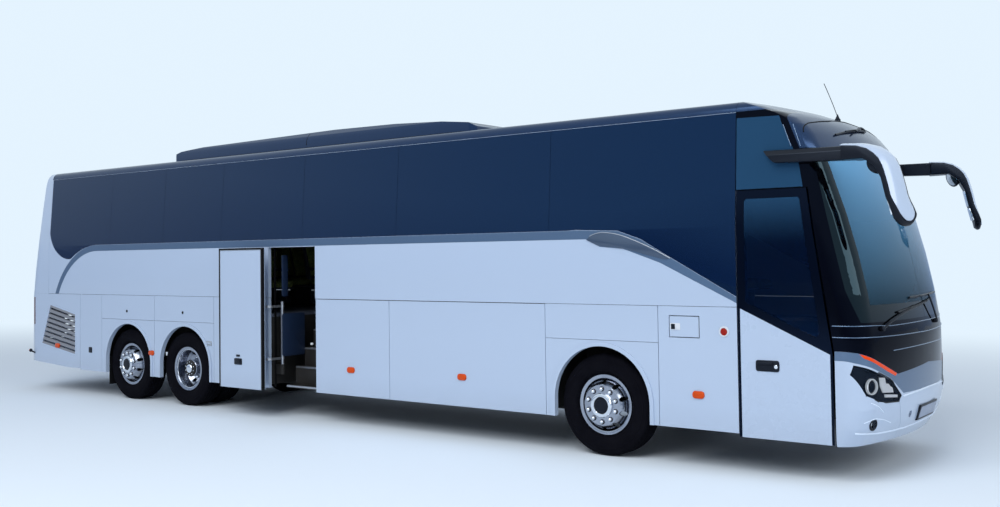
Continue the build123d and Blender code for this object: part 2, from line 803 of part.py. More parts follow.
def swing_arms(column, tip, knee):
    """A column with two flat cranked arms from it to the leaf's pivots, one above the other."""
    with BuildPart() as arms:
        with BuildSketch(Plane.XY.offset(socket_low + rest_gap)):
            with Locations(column):
                Circle(column_radius)
        extrude(amount=arm_heights[1] + 60 - socket_low)
        for z in arm_heights:
            with BuildSketch(Plane.XY.offset(z - arm_bar / 2)):
                with BuildLine():
                    FilletPolyline(column, knee, tip, radius=60)
                trace(line_width=arm_bar)
                with Locations(column):
                    Circle(column_radius + 6)
                with Locations(tip):
                    Circle(arm_bar / 2)
                    Circle(pin_radius + rest_gap, mode=Mode.SUBTRACT)
            extrude(amount=arm_bar)
    return arms.part


mid_tip_open = (mid_column[0] - open_reach, -arm_root_y - closed_step - open_out)
mid_knee_open = (mid_column[0] - 20, -arm_root_y - 210)
write(swing_arms(mid_column, mid_tip_open, mid_knee_open), "mid_door_arms")


def leaf_bracket(tip):
    """Two plates on a leaf's inner face with a pin between them, over and under the tip of each arm."""
    with BuildPart() as bracket:
        for z in arm_heights:
            for low in (z - arm_bar / 2 - plate_gap - plate, z + arm_bar / 2 + plate_gap):
                with BuildSketch(Plane.XY.offset(low)):
                    with Locations(tip):
                        Rectangle(60, 2 * arm_tip_inset)
                extrude(amount=plate)
            with BuildSketch(Plane.XY.offset(z - arm_bar / 2 - plate_gap - plate)):
                with Locations(tip):
                    Circle(pin_radius)
            extrude(amount=arm_bar + 2 * plate_gap + 2 * plate)
    return bracket.part


with BuildPart() as mid_leaf:
    rear_x, front_x = at(mid_door_from + leaf_rear_gap) - travel, at(mid_door_to - door_gap) - travel
    with BuildSketch(Plane.XZ.offset(half_width + open_out - wall)):
        with Locations(((rear_x + front_x) / 2, (leaf_low + leaf_high) / 2)):
            RectangleRounded(front_x - rear_x, leaf_high - leaf_low, 12)
    extrude(amount=wall)
    add(leaf_bracket(mid_tip_open))
write(mid_leaf.part, "mid_door_leaf")

# Front door: the same arms turned about, closed, with its column at the front of the doorway
front_column = (at(2250), -arm_root_y)
front_tip = (front_column[0] - closed_reach, -arm_root_y - closed_step)
front_knee = (front_column[0] - 182, -arm_root_y + 85)
write(swing_arms(front_column, front_tip, front_knee), "front_door_arms")

with BuildPart() as front_leaf:
    add(door_frame(-1))
    add(leaf_bracket(front_tip))
write(front_leaf.part, "front_door_leaf")


# Floors and bulkheads
bay_floor_z, bay_floor_top = 420, 450
bulkhead = 30
bay_from, bay_to = mid_door_from, -690
inner_half = half_width - wall - rest_gap
cabin_low_z = 900
entry_from = front_door_from - 60
cabin_low_from = 420
stairwell = 760

with BuildPart() as floor_deck:
    with BuildSketch(Plane.XY.offset(floor_z - floor_thickness)):
        with Locations((at(entry_from), 0)):
            Rectangle(entry_from + 10700, 2 * inner_half, align=(Align.MAX, Align.CENTER))
        with Locations((at(mid_door_from), -inner_half)):
            doorway = mid_door_to - mid_door_from
            Rectangle(doorway, stairwell, align=(Align.MIN, Align.MIN), mode=Mode.SUBTRACT)
    extrude(amount=floor_thickness)
    with BuildSketch(Plane.XY.offset(cabin_low_z - floor_thickness)):
        with Locations((at(entry_from), -cabin_low_from)):
            Rectangle(940, inner_half + cabin_low_from, align=(Align.MIN, Align.MIN))
    extrude(amount=floor_thickness)
    with BuildSketch(Plane.YZ.offset(at(entry_from) - bulkhead)):
        with Locations((0, cabin_low_z)):
            Rectangle(2 * inner_half, floor_z - cabin_low_z, align=(Align.CENTER, Align.MIN))
    extrude(amount=bulkhead)
write(floor_deck.part, "floor_deck")

rail_width, rail_height = 80, 100
bay_rail_y, end_rail_y, end_rail_z = 430, 350, 760
stairs = (  # from, to, outer edge, the rail that holds the inner edge, height above
    (entry_from + 100, entry_from + 840, inner_half - 40, end_rail_y + rail_width / 2, cabin_low_z),
    (mid_door_from + 160, mid_door_to - 30, inner_half - 110, bay_rail_y + rail_width / 2, floor_z),
)
steps, tread_thickness = 4, 30
with BuildPart() as door_steps:
    for rear, front, outer, inner, high in stairs:
        depth = (outer - inner) / steps
        rise = (high - skirt_z - tread_thickness) / steps
        for i in range(steps):
            with BuildSketch(Plane.XY.offset(skirt_z)):
                with Locations((at(rear), i * depth - outer)):
                    Rectangle(front - rear, depth, align=(Align.MIN, Align.MIN))
            extrude(amount=tread_thickness + i * rise)
    with BuildSketch(Plane.XY.offset(skirt_z)):
        with Locations(front_column):
            Circle(socket_radius)
    extrude(amount=socket_high - skirt_z)
    with BuildSketch(Plane.XY.offset(socket_low)):
        with Locations(front_column):
            Circle(column_radius + rest_gap)
    extrude(amount=socket_high - socket_low, mode=Mode.SUBTRACT)
write(door_steps.part, "door_steps")

tow_face = 2790
jack_pad, jack_pad_height = 100, 12
jack_pads = [(at(x), side * bay_rail_y) for x in (-1200, -3700) for side in (-1, 1)]
house_sheet, house_top = 8, 1175
houses = ((-680, 690, 445), (-8880, -6190, 500))  # from, to, distance of the inner wall from the middle
bulkhead_rows = (  # from, lower edge
    (-6180, bay_floor_z),
    (mid_door_from - bulkhead - rest_gap, bay_floor_z),
    (mid_door_to + 2, bay_floor_top + rest_gap),
    (-2907 - bulkhead / 2, bay_floor_top + rest_gap),
    (bay_to - bulkhead, bay_floor_top + rest_gap),
)
doorway_inner = 455
deck_low = floor_z - floor_thickness


def beam(x, y, z):
    """A straight beam or plate between (low, high) pairs: ahead of the front axle, across and up."""
    with BuildPart() as solid:
        with BuildSketch(Plane.XY.offset(z[0])):
            with Locations((at(x[0]), y[0])):
                Rectangle(x[1] - x[0], y[1] - y[0], align=(Align.MIN, Align.MIN))
        extrude(amount=z[1] - z[0])
    return solid.part


def rail(x, y, low):
    """A frame rail along the coach, from its middle line and its lower face."""
    return beam(x, (y - rail_width / 2, y + rail_width / 2), (low, low + rail_height))


def across(side, inner, outer):
    """The (low, high) pair across the coach between two distances from the middle, on one side."""
    return sorted((side * inner, side * outer))


# The members meet at hairline seams, so that each is a plain solid of its own.
with BuildPart() as underfloor:
    board = (bay_floor_z, bay_floor_top)
    add(beam((bay_from, mid_door_to), (-doorway_inner, inner_half), board))
    add(beam((mid_door_to + rest_gap, bay_to), (-inner_half, inner_half), board))
    for x, low in bulkhead_rows:
        add(beam((x, x + bulkhead), (-inner_half, inner_half), (low, deck_low)))
    for side in (-1, 1):
        add(rail((-6180, bay_to), side * bay_rail_y, bay_floor_z - rail_height - rest_gap))
        add(rail((bay_to + rest_gap, 2650), side * end_rail_y, end_rail_z))
        add(rail((-10960, -6180 - rest_gap), side * end_rail_y, end_rail_z))
        post = across(side, end_rail_y - rail_width / 2, end_rail_y + rail_width / 2)
        add(beam((2560, 2650), post, (620 + rest_gap, end_rail_z - rest_gap)))
    add(beam((2560, 2650), (-800, 800), (500, 620)))
    cross_half = end_rail_y - rail_width / 2 - rest_gap
    for x in (-9250, 1250):
        add(beam((x, x + 80), (-cross_half, cross_half), (end_rail_z, end_rail_z + rail_height)))
    for rear, front, inner in houses:
        plate_half = inner - house_sheet - rest_gap
        for side in (-1, 1):
            spread = across(side, inner + rest_gap, inner_half)
            add(beam((rear, front), spread, (house_top, house_top + house_sheet)))
            add(beam((rear, rear + house_sheet), spread, (500, house_top - rest_gap)))
            add(beam((front - house_sheet, front), spread, (500, house_top - rest_gap)))
            add(beam((rear, front), across(side, inner - house_sheet, inner), (640, house_top + house_sheet)))
        for x in (rear, front - house_sheet):
            if x != -680:
                add(beam((x, x + house_sheet), (-plate_half, plate_half), (house_top, deck_low)))
    add(beam((mid_door_from + rest_gap, -4950), (-1160, -1100), (socket_low - 10, socket_high)))
    with BuildSketch(Plane.XY.offset(socket_low - 10)):
        with Locations(mid_column):
            Circle(socket_radius)
    extrude(amount=socket_high - socket_low + 10)
    with BuildSketch(Plane.XY.offset(socket_low)):
        with Locations(mid_column):
            Circle(column_radius + rest_gap)
    extrude(amount=socket_high - socket_low, mode=Mode.SUBTRACT)
    with BuildSketch(Plane.YZ.offset(at(2650) + rest_gap)):
        with Locations((tow_y, tow_z)):
            Circle(tow_bore / 2 + tow_wall)
    extrude(amount=tow_face - 2650 - rest_gap)
    with BuildSketch(Plane.YZ.offset(at(tow_face))):
        with Locations((tow_y, tow_z)):
            Circle(tow_bore / 2)
    extrude(amount=-tow_depth, mode=Mode.SUBTRACT)
    with BuildSketch(Plane.XY.offset(bay_floor_z - rail_height - jack_pad_height)):
        with Locations(*jack_pads):
            Circle(jack_pad / 2)
    extrude(amount=jack_pad_height - rest_gap)
write(underfloor.part, "underfloor")

# Hoops inside the skin at each window post and at the two end seams
hoop_width, hoop_depth = 50, 35
hoop_places = [rear_seam, *window_seams, side_to - hoop_width / 2]


def hoop(x, width, low, high):
    """A hoop inside the skin from X onwards, kept between two heights."""
    with BuildPart() as ring:
        extrude(section_sketch(at(x), wall + rest_gap), amount=width)
        extrude(section_sketch(at(x), wall + hoop_depth), amount=width, mode=Mode.SUBTRACT)
        with BuildSketch(Plane.XY.offset(low)):
            with Locations((at(x), 0)):
                Rectangle(3 * width, 3 * half_width)
        extrude(amount=high - low, mode=Mode.INTERSECT)
    return ring.part


with BuildPart() as body_frame:
    for x in hoop_places:
        add(hoop(x - hoop_width / 2, hoop_width, floor_z, roof_z))
    add(hoop(side_to, hoop_width, front_door_top + 40, glass_top_z))
    with BuildSketch(Plane.XZ):
        with Locations((at(mid_door_from - 10), 0)):
            Rectangle(doorway + 20, mid_door_top + 30, align=(Align.MIN, Align.MIN))
    extrude(amount=side_reach, mode=Mode.SUBTRACT)
write(body_frame.part, "body_frame")

engine_length, engine_height = 1250, 640
engine_width = 2 * end_rail_y - rail_width
with BuildPart() as engine_block:
    with BuildSketch(Plane.XY.offset(600)):
        with Locations((at(-10900), 0)):
            Rectangle(engine_length, engine_width, align=(Align.MIN, Align.CENTER))
    extrude(amount=engine_height)
write(engine_block.part, "engine_block")

# Axles, knuckles and wheels
eye_radius, eye_height, pin = 60, 110, 30
spindle = 50
hub_radius, hub_face = 118, 50
single_hub, twin_hub = (952, 1190), (780, 1125)  # from, to, across the coach
spring_radius = 70
running_gap = 1

with BuildPart() as axles:
    with BuildSketch(Plane.XY.offset(hub_z - 50)):
        with Locations((at(0), 0)):
            Rectangle(110, 2 * kingpin_y)
    extrude(amount=100)
    with BuildSketch(Plane.XY.offset(hub_z - eye_height / 2)):
        with Locations((at(0), -kingpin_y), (at(0), kingpin_y)):
            Circle(eye_radius)
    extrude(amount=eye_height)
    with BuildSketch(Plane.XY.offset(hub_z - eye_height)):
        with Locations((at(0), -kingpin_y), (at(0), kingpin_y)):
            Circle(pin + rest_gap)
    extrude(amount=2 * eye_height, mode=Mode.SUBTRACT)
    for x, hub in ((drive_axle_x, twin_hub), (tag_axle_x, single_hub)):
        end = hub[1] - hub_face - 5
        with BuildSketch(Plane.XZ.offset(-end)):
            with Locations((x, hub_z)):
                Circle(spindle)
        extrude(amount=2 * end)
        with BuildSketch(Plane.XZ.offset(-540)):
            with Locations((x, hub_z)):
                Circle(75)
        extrude(amount=1080)
    with BuildSketch(Plane.XZ.offset(-150)):
        with Locations((drive_axle_x, hub_z)):
            Circle(200)
    extrude(amount=300)
    for x, low in ((at(0), hub_z + 50), (drive_axle_x, hub_z + 60), (tag_axle_x, hub_z + 60)):
        with BuildSketch(Plane.XY.offset(low)):
            with Locations((x, -end_rail_y), (x, end_rail_y)):
                Circle(spring_radius)
        extrude(amount=end_rail_z - seal - low)
write(axles.part, "axles")


def swivel(sign):
    """A steering knuckle: a fork over the axle's eye, the kingpin through it and the wheel's spindle."""
    y = sign * kingpin_y
    plate_z = eye_height / 2 + running_gap
    with BuildPart() as knuckle:
        for low in (hub_z - plate_z - 25, hub_z + plate_z):
            with BuildSketch(Plane.XY.offset(low)):
                with Locations((at(0), y)):
                    Circle(eye_radius - 5)
                with Locations((at(0), y + sign * 45)):
                    Rectangle(110, 90)
            extrude(amount=25)
        with BuildSketch(Plane.XY.offset(hub_z - plate_z - 25)):
            with Locations((at(0), y + sign * 78)):
                Rectangle(110, 24)
        extrude(amount=2 * plate_z + 50)
        with BuildSketch(Plane.XY.offset(hub_z - plate_z - 25)):
            with Locations((at(0), y)):
                Circle(pin)
        extrude(amount=2 * plate_z + 50)
        with BuildSketch(Plane.XZ.offset(-y)):
            with Locations((at(0), hub_z)):
                Circle(spindle)
        extrude(amount=-sign * 80)
        with BuildSketch(Plane.XZ.offset(-(y + sign * 80))):
            with Locations((at(0), hub_z)):
                Circle(spindle)
        extrude(amount=-sign * 190)
        with BuildSketch(Plane.XY.offset(hub_z - eye_height / 2 - running_gap)):
            with Locations((at(0), y)):
                Circle(eye_radius + running_gap)
                Circle(pin, mode=Mode.SUBTRACT)
        extrude(amount=eye_height + 2 * running_gap, mode=Mode.SUBTRACT)
    return knuckle.part


for name, sign in sides:
    write(swivel(sign), f"steering_knuckle_{name}")


def turned(axle_x, points):
    """A closed profile to be turned about an axle, from (radius, place across the coach) points."""
    with BuildSketch(Plane.XY.offset(hub_z)) as profile:
        with BuildLine():
            Polyline(*[(axle_x + r, y) for r, y in points], close=True)
        make_face()
    return profile.sketch


bead_half = 104
side_low_r, side_mid_r, shoulder_r = flange_radius + 5, 400, tyre_radius - 26
shoulder_width = tyre_half_width - 13


def tyre_profile(axle_x, centre):
    """The tyre's profile about its middle plane, with round sidewalls."""
    with BuildSketch(Plane.XY.offset(hub_z)) as profile:
        with BuildLine():
            for side in (-1, 1):
                bead = centre + side * bead_half
                bulge = centre + side * tyre_half_width
                shoulder = (axle_x + shoulder_r, centre + side * shoulder_width)
                Line((axle_x + bead_radius, bead), (axle_x + side_low_r, bead))
                ThreePointArc((axle_x + side_low_r, bead), (axle_x + side_mid_r, bulge), shoulder)
                Line(shoulder, (axle_x + tyre_radius, centre + side * tread_half_width))
            for radius, half in ((tyre_radius, tread_half_width), (bead_radius, bead_half)):
                Line((axle_x + radius, centre - half), (axle_x + radius, centre + half))
        make_face()
    return profile.sketch


def rim_points(centre, facing_out):
    """A disc wheel's profile: barrel, flanges and a disc that bulges to one side."""
    rows = (  # radius, place across
        (flange_radius, 120),
        (flange_radius, 112),
        (bead_radius - 0.5, 107),
        (bead_radius - 0.5, -107),
        (flange_radius, -112),
        (flange_radius, -120),
        (272, -116),
        (272, 56),
        (232, 104),
        (202, 126),
        (110, 128),
        (110, 142),
        (208, 140),
        (242, 118),
        (272, 78),
        (272, 116),
        (290, 121),
    )
    return [(r, centre + facing_out * y) for r, y in rows]


vent_count, vent_radius, vent_circle = 10, 25, 236


def wheel_parts(axle_x, sign, twin):
    """The tyres and the rims with their hub for one wheel place. Twin wheels face each other's discs."""
    axis = Axis((axle_x, 0, hub_z), (0, 1, 0))
    rows = [(wheel_plane_y, -1), (wheel_plane_y - twin_spacing, 1)] if twin else [(wheel_plane_y, 1)]
    hub_from, hub_to = twin_hub if twin else single_hub
    cap = hub_to + 20
    with BuildPart() as tyres:
        for centre, out in rows:
            revolve(tyre_profile(axle_x, sign * centre), axis=axis)
    with BuildPart() as rims:
        for centre, out in rows:
            revolve(turned(axle_x, rim_points(sign * centre, sign * out)), axis=axis)
            with BuildSketch(Plane.XZ.offset(-sign * (centre + out * 60))):
                with Locations((axle_x, hub_z)):
                    with PolarLocations(vent_circle, vent_count, start_angle=18):
                        Circle(vent_radius)
            extrude(amount=-sign * out * 90, mode=Mode.SUBTRACT)
        hub = [
            (0, hub_from),
            (hub_radius, hub_from),
            (hub_radius, hub_to - 20),
            (hub_radius - 26, hub_to),
            (60, hub_to),
            (50, cap),
            (0, cap),
        ]
        revolve(turned(axle_x, [(r, sign * y) for r, y in hub]), axis=axis)
        bore, bore_end = spindle + rest_gap, hub_to - hub_face
        hub_bore = [(0, hub_from - 5), (bore, hub_from - 5), (bore, bore_end), (0, bore_end)]
        revolve(turned(axle_x, [(r, sign * y) for r, y in hub_bore]), axis=axis, mode=Mode.SUBTRACT)
    return tyres.part, rims.part


wheel_rows = (  # place, axle, twin wheels
    ("front", at(0), False),
    ("drive", drive_axle_x, True),
    ("tag", tag_axle_x, False),
)
for place, axle_x, twin in wheel_rows:
    for name, sign in sides:
        tyre, rim = wheel_parts(axle_x, sign, twin)
        write(tyre, f"{place}_tyre_{name}")
        write(rim, f"{place}_rim_{name}")

# Roof: air conditioner and hatches
cooler_side = [
    (-7610, 3480),
    (-7600, 3610),
    (-7430, 3662),
    (-6960, 3700),
    (-4270, 3738),
    (-3200, 3720),
    (-2400, 3676),
    (-1970, 3629),
    (-1880, 3580),
    (-1865, 3480),
]
cooler_plan = [(-7610, 840), (-7520, 900), (-1960, 900), (-1865, 840)]
cooler_section = [(902, 3400), (902, 3610), (880, 3672), (800, 3745), (0, 3745)]
with BuildPart() as air_conditioner:
    with BuildSketch(Plane.XZ):
        add(flat([(at(x), z) for x, z in cooler_side]))
    extrude(amount=950, both=True)
    with BuildSketch(Plane.XY.offset(3400)):
        add(flat([(at(x), y) for x, y in cooler_plan] + [(at(x), -y) for x, y in reversed(cooler_plan)]))
    extrude(amount=500, mode=Mode.INTERSECT)
    extrude(facing(both_halves(cooler_section)), amount=-reach, both=True, mode=Mode.INTERSECT)
    extrude(section_sketch(at(-8000), -seal), amount=7000, mode=Mode.SUBTRACT)
write(air_conditioner.part, "air_conditioner")

for place, x in hatch_places.items():
    with BuildPart() as roof_hatch:
        with BuildSketch(Plane.XY.offset(roof_z + hatch_lift)):
            with Locations((at(x), 0)):
                RectangleRounded(hatch, hatch, 60)
        extrude(amount=hatch_thickness)
    write(roof_hatch.part, f"roof_hatch_{place}")

# Mirrors on their arms
mirror_arm_outline = [(1800, 2985), (2600, 3045), (2700, 2900), (2020, 2870)]
mirror_arm_outer = 1304
with BuildPart() as mirror_arms:
    with BuildSketch(Plane.XZ.offset(1200)):
        add(flat([(at(x), z) for x, z in mirror_arm_outline]))
    extrude(amount=mirror_arm_outer - 1200)
    extrude(section_sketch(at(side_to), -rest_gap), amount=2000, mode=Mode.SUBTRACT)
    mirror(about=Plane.XZ)
write(mirror_arms.part, "mirror_arms")

mirror_inner, mirror_width, mirror_round = 1150, 250, 28


def head_sketch(plane):
    """A mirror head in side view: it bends down from the arm's end and narrows to a round tip."""
    bend = [(at(x), z) for x, z in ((2600, 3045), (2790, 3032), (3015, 2850), (3104, 2560))]
    tip = [(at(x), z) for x, z in ((3098, 2390), (3055, 2272), (2972, 2330))]
    back = [(at(x), z) for x, z in ((2956, 2520), (2885, 2770), (2700, 2900))]
    with BuildSketch(plane) as head:
        with BuildLine():
            Line(bend[0], bend[1])
            ThreePointArc(*bend[1:])
            Line(bend[3], tip[0])
            ThreePointArc(*tip)
            Line(tip[2], back[0])
            ThreePointArc(*back)
            Line(back[2], bend[0])
        make_face()
    return head.sketch


with BuildPart() as mirror_heads:
    extrude(head_sketch(Plane.XZ.offset(mirror_inner)), amount=mirror_width)
    fillet(mirror_heads.edges().filter_by(Axis.Y, reverse=True), mirror_round)
    mirror(about=Plane.XZ)
write(mirror_heads.part, "mirror_heads")

# Inside: seats, dashboard and steering wheel
seat_profile = [(0, 290), (440, 300), (460, 420), (100, 430), (-70, 1080), (-170, 1060), (-60, 420)]
seat_width, seat_pitch, seat_from, seat_to = 880, 810, -10100, 500
seat_y = 740
pedestal = 60


def seat(x, y, z, width):
    """A seat seen from the side, as wide as one or two people, on a pedestal."""
    with BuildPart() as chair:
        with BuildSketch(Plane.XZ.offset(-y - width / 2)):
            add(flat([(at(x + dx), z + dz) for dx, dz in seat_profile]))
        extrude(amount=width)
        with BuildSketch(Plane.XY.offset(z)):
            with Locations((at(x + 220), y)):
                Rectangle(300, pedestal)
        extrude(amount=300)
    return chair.part


with BuildPart() as seats:
    count = int((seat_to - seat_from) / seat_pitch)
    for i in range(count + 1):
        x = seat_from + i * seat_pitch
        for side in (-1, 1):
            if side > 0 or not mid_door_from - 500 < x < mid_door_to + 250:
                add(seat(x, side * seat_y, floor_z, seat_width))
    add(seat(1680, 640, cabin_low_z, 500))
write(seats.part, "seats")

dash_outline = [(2230, cabin_low_z), (2620, cabin_low_z), (2640, 1330), (2380, 1430), (2230, 1380)]
with BuildPart() as dashboard:
    with BuildSketch(Plane.XZ.offset(-990)):
        add(flat([(at(x), z) for x, z in dash_outline]))
    extrude(amount=1290)
    wheel_plane = Plane(origin=(at(2080), 640, 1560), z_dir=(-0.5, 0, 0.866))
    with BuildSketch(wheel_plane):
        Circle(225)
        Circle(190, mode=Mode.SUBTRACT)
        Rectangle(400, 50)
        Circle(60)
    extrude(amount=30)
    with BuildSketch(wheel_plane):
        Circle(28)
    extrude(amount=-330)
write(dashboard.part, "dashboard")

# Carrier brackets at the rear corners
bracket_x, bracket_y, bracket_z = -11112, 900, 630
bracket_eye, bracket_bore, bracket_thickness = 28, 24, 30
with BuildPart() as carrier_brackets:
    with BuildSketch(Plane.XZ.offset(bracket_y - bracket_thickness / 2)):
        with Locations((at(bracket_x), bracket_z)):
            Circle(bracket_eye)
            Rectangle(4 * bracket_eye, 2 * bracket_eye, align=(Align.MIN, Align.CENTER))
            Circle(bracket_bore / 2, mode=Mode.SUBTRACT)
    extrude(amount=bracket_thickness)
    mirror(about=Plane.XZ)
    add(end_solid(-1, 0), mode=Mode.SUBTRACT)
write(carrier_brackets.part, "carrier_brackets")
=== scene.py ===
# %% [markdown]
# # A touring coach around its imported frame
# The coach's solids come from the CAD model and never move. This lesson gives them their paint, glass, rubber and
# metal, and models what CAD leaves out: tyre treads, wheel nuts, lamps, wipers, mirrors, trim and seats. Each step
# first says what the piece is on the real coach and why it is made in the way that follows.

import json
import math

import bpy
from mathutils import Matrix, Vector

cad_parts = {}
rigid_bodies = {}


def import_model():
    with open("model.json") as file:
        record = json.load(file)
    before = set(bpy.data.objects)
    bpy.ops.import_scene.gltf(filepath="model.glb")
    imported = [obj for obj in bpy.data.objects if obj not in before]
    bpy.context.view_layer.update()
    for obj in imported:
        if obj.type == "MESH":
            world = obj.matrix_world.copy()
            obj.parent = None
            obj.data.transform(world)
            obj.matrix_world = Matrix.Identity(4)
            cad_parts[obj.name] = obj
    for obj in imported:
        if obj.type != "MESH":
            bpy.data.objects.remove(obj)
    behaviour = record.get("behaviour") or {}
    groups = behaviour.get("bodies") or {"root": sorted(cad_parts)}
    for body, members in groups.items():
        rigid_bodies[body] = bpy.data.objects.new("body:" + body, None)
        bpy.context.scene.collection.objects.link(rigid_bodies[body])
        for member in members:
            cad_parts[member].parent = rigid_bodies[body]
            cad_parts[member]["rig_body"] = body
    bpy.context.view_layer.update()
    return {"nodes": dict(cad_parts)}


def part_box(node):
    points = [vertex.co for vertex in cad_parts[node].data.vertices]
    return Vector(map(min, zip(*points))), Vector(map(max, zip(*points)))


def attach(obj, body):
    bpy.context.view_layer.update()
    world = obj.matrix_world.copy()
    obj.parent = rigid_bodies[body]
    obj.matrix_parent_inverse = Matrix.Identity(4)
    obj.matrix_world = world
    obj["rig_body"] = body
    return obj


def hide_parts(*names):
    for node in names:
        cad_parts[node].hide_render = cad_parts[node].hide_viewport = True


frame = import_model()
nodes = frame["nodes"]

# %% [markdown]
# The coach stands on its wheels, so places are easiest to name from the front axle: how far ahead of it, how far
# to the left, how high. The wheels' boxes in the frame say where the axles are.

# %% Places named from the axles
wheel_low, wheel_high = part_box("front_tyre_right")
axle_x = (wheel_low.x + wheel_high.x) / 2
hub_z = (wheel_low.z + wheel_high.z) / 2
tyre_radius = (wheel_high.z - wheel_low.z) / 2
half_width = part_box("skirt_panels")[1].y - 0.012
RIGHT, LEFT = -1, 1
SIDES = ((RIGHT, "right"), (LEFT, "left"))


def place(ahead, left, up):
    """A point from the front axle's place, in metres."""
    return Vector((axle_x + ahead, left, up))


print("front axle at", round(axle_x, 3), "tyre radius", round(tyre_radius, 3), "half width", round(half_width, 3))

# %% [markdown]
# The photo was taken from the coach's right, a little ahead of its middle, at about head height. The camera's place
# and turn were worked out from the wheels, the seams and the roof line. A small shift keeps the uprights upright, as
# in the photo.


# %% Camera
def added(name, data):
    """A new object in the scene."""
    made = bpy.data.objects.new(name, data)
    bpy.context.scene.collection.objects.link(made)
    return made


camera_place = Vector((9.699, -10.482, 2.061))
yaw, pitch, roll = math.radians(-36.97), math.radians(1.84), math.radians(-0.772)
forward = Vector((math.sin(yaw) * math.cos(pitch), math.cos(yaw) * math.cos(pitch), math.sin(pitch)))
level_right = forward.cross(Vector((0, 0, 1))).normalized()
level_up = level_right.cross(forward)
right = math.cos(roll) * level_right + math.sin(roll) * level_up
up = math.cos(roll) * level_up - math.sin(roll) * level_right

camera_data = bpy.data.cameras.new("camera")
camera_data.lens = 37.924
camera_data.sensor_width = 36.0
camera_data.sensor_fit = "HORIZONTAL"
camera_data.shift_y = -0.03146
camera_data.clip_end = 200
camera = added("camera", camera_data)
camera.matrix_world = Matrix.Translation(camera_place) @ Matrix((right, up, -forward)).transposed().to_4x4()
bpy.context.scene.camera = camera
print("camera looks along", tuple(round(v, 3) for v in forward))

# %% [markdown]
# Shader maths reads best as Python. One small class wraps a node's output and turns `a * b + 1` into Math nodes.
# The material class beside it adds any other node from its type, its settings and the values of its sockets.


# %% Helpers for materials
class Value:
    """A node's output that takes part in Python arithmetic by adding Math nodes."""

    def __init__(self, tree, socket):
        self.tree, self.socket = tree, socket

    def maths(self, operation, *items):
        """A Math node over the given items, or over this value alone."""
        node = self.tree.nodes.new("ShaderNodeMath")
        node.operation = operation
        for slot, item in zip(node.inputs, items or (self,)):
            if isinstance(item, Value):
                self.tree.links.new(item.socket, slot)
            else:
                slot.default_value = item
        return Value(self.tree, node.outputs[0])

    def __add__(self, other):
        return self.maths("ADD", self, other)

    def __radd__(self, other):
        return self.maths("ADD", other, self)

    def __sub__(self, other):
        return self.maths("SUBTRACT", self, other)

    def __rsub__(self, other):
        return self.maths("SUBTRACT", other, self)

    def __mul__(self, other):
        return self.maths("MULTIPLY", self, other)

    def __rmul__(self, other):
        return self.maths("MULTIPLY", other, self)

    def __truediv__(self, other):
        return self.maths("DIVIDE", self, other)

    def above(self, edge):
        return self.maths("GREATER_THAN", self, edge)

    def below(self, edge):
        return self.maths("LESS_THAN", self, edge)

    def near(self, centre, half):
        """1 within a band about a value, 0 outside."""
        return self.maths("COMPARE", self, centre, half)

    def clipped(self):
        return self.maths("MINIMUM", self.maths("MAXIMUM", self, 0.0), 1.0)


class Shading:
    """A node tree under construction."""

    def __init__(self, tree):
        self.tree = tree

    def node(self, kind, settings, output=0, **inputs):
        """Any node, from its type, its settings, and the values or links of its sockets."""
        made = self.tree.nodes.new("ShaderNode" + kind)
        for key, value in settings.items():
            setattr(made, key, value)
        for key, value in inputs.items():
            target = made.inputs[int(key[1:]) if key[1:].isdigit() else key.replace("_", " ")]
            if isinstance(value, Value):
                self.tree.links.new(value.socket, target)
            else:
                target.default_value = value
        return Value(self.tree, made.outputs[output])

    def mix(self, share, first, second):
        """A colour between two colours or linked colours."""
        a = first if isinstance(first, Value) else (*first, 1.0)
        b = second if isinstance(second, Value) else (*second, 1.0)
        return self.node("Mix", {"data_type": "RGBA"}, 2, i0=share, i6=a, i7=b)

    def end_in(self, shader, output_name):
        """Links a shader to the tree's output node."""
        self.tree.links.new(shader.socket, self.tree.nodes[output_name].inputs["Surface"])


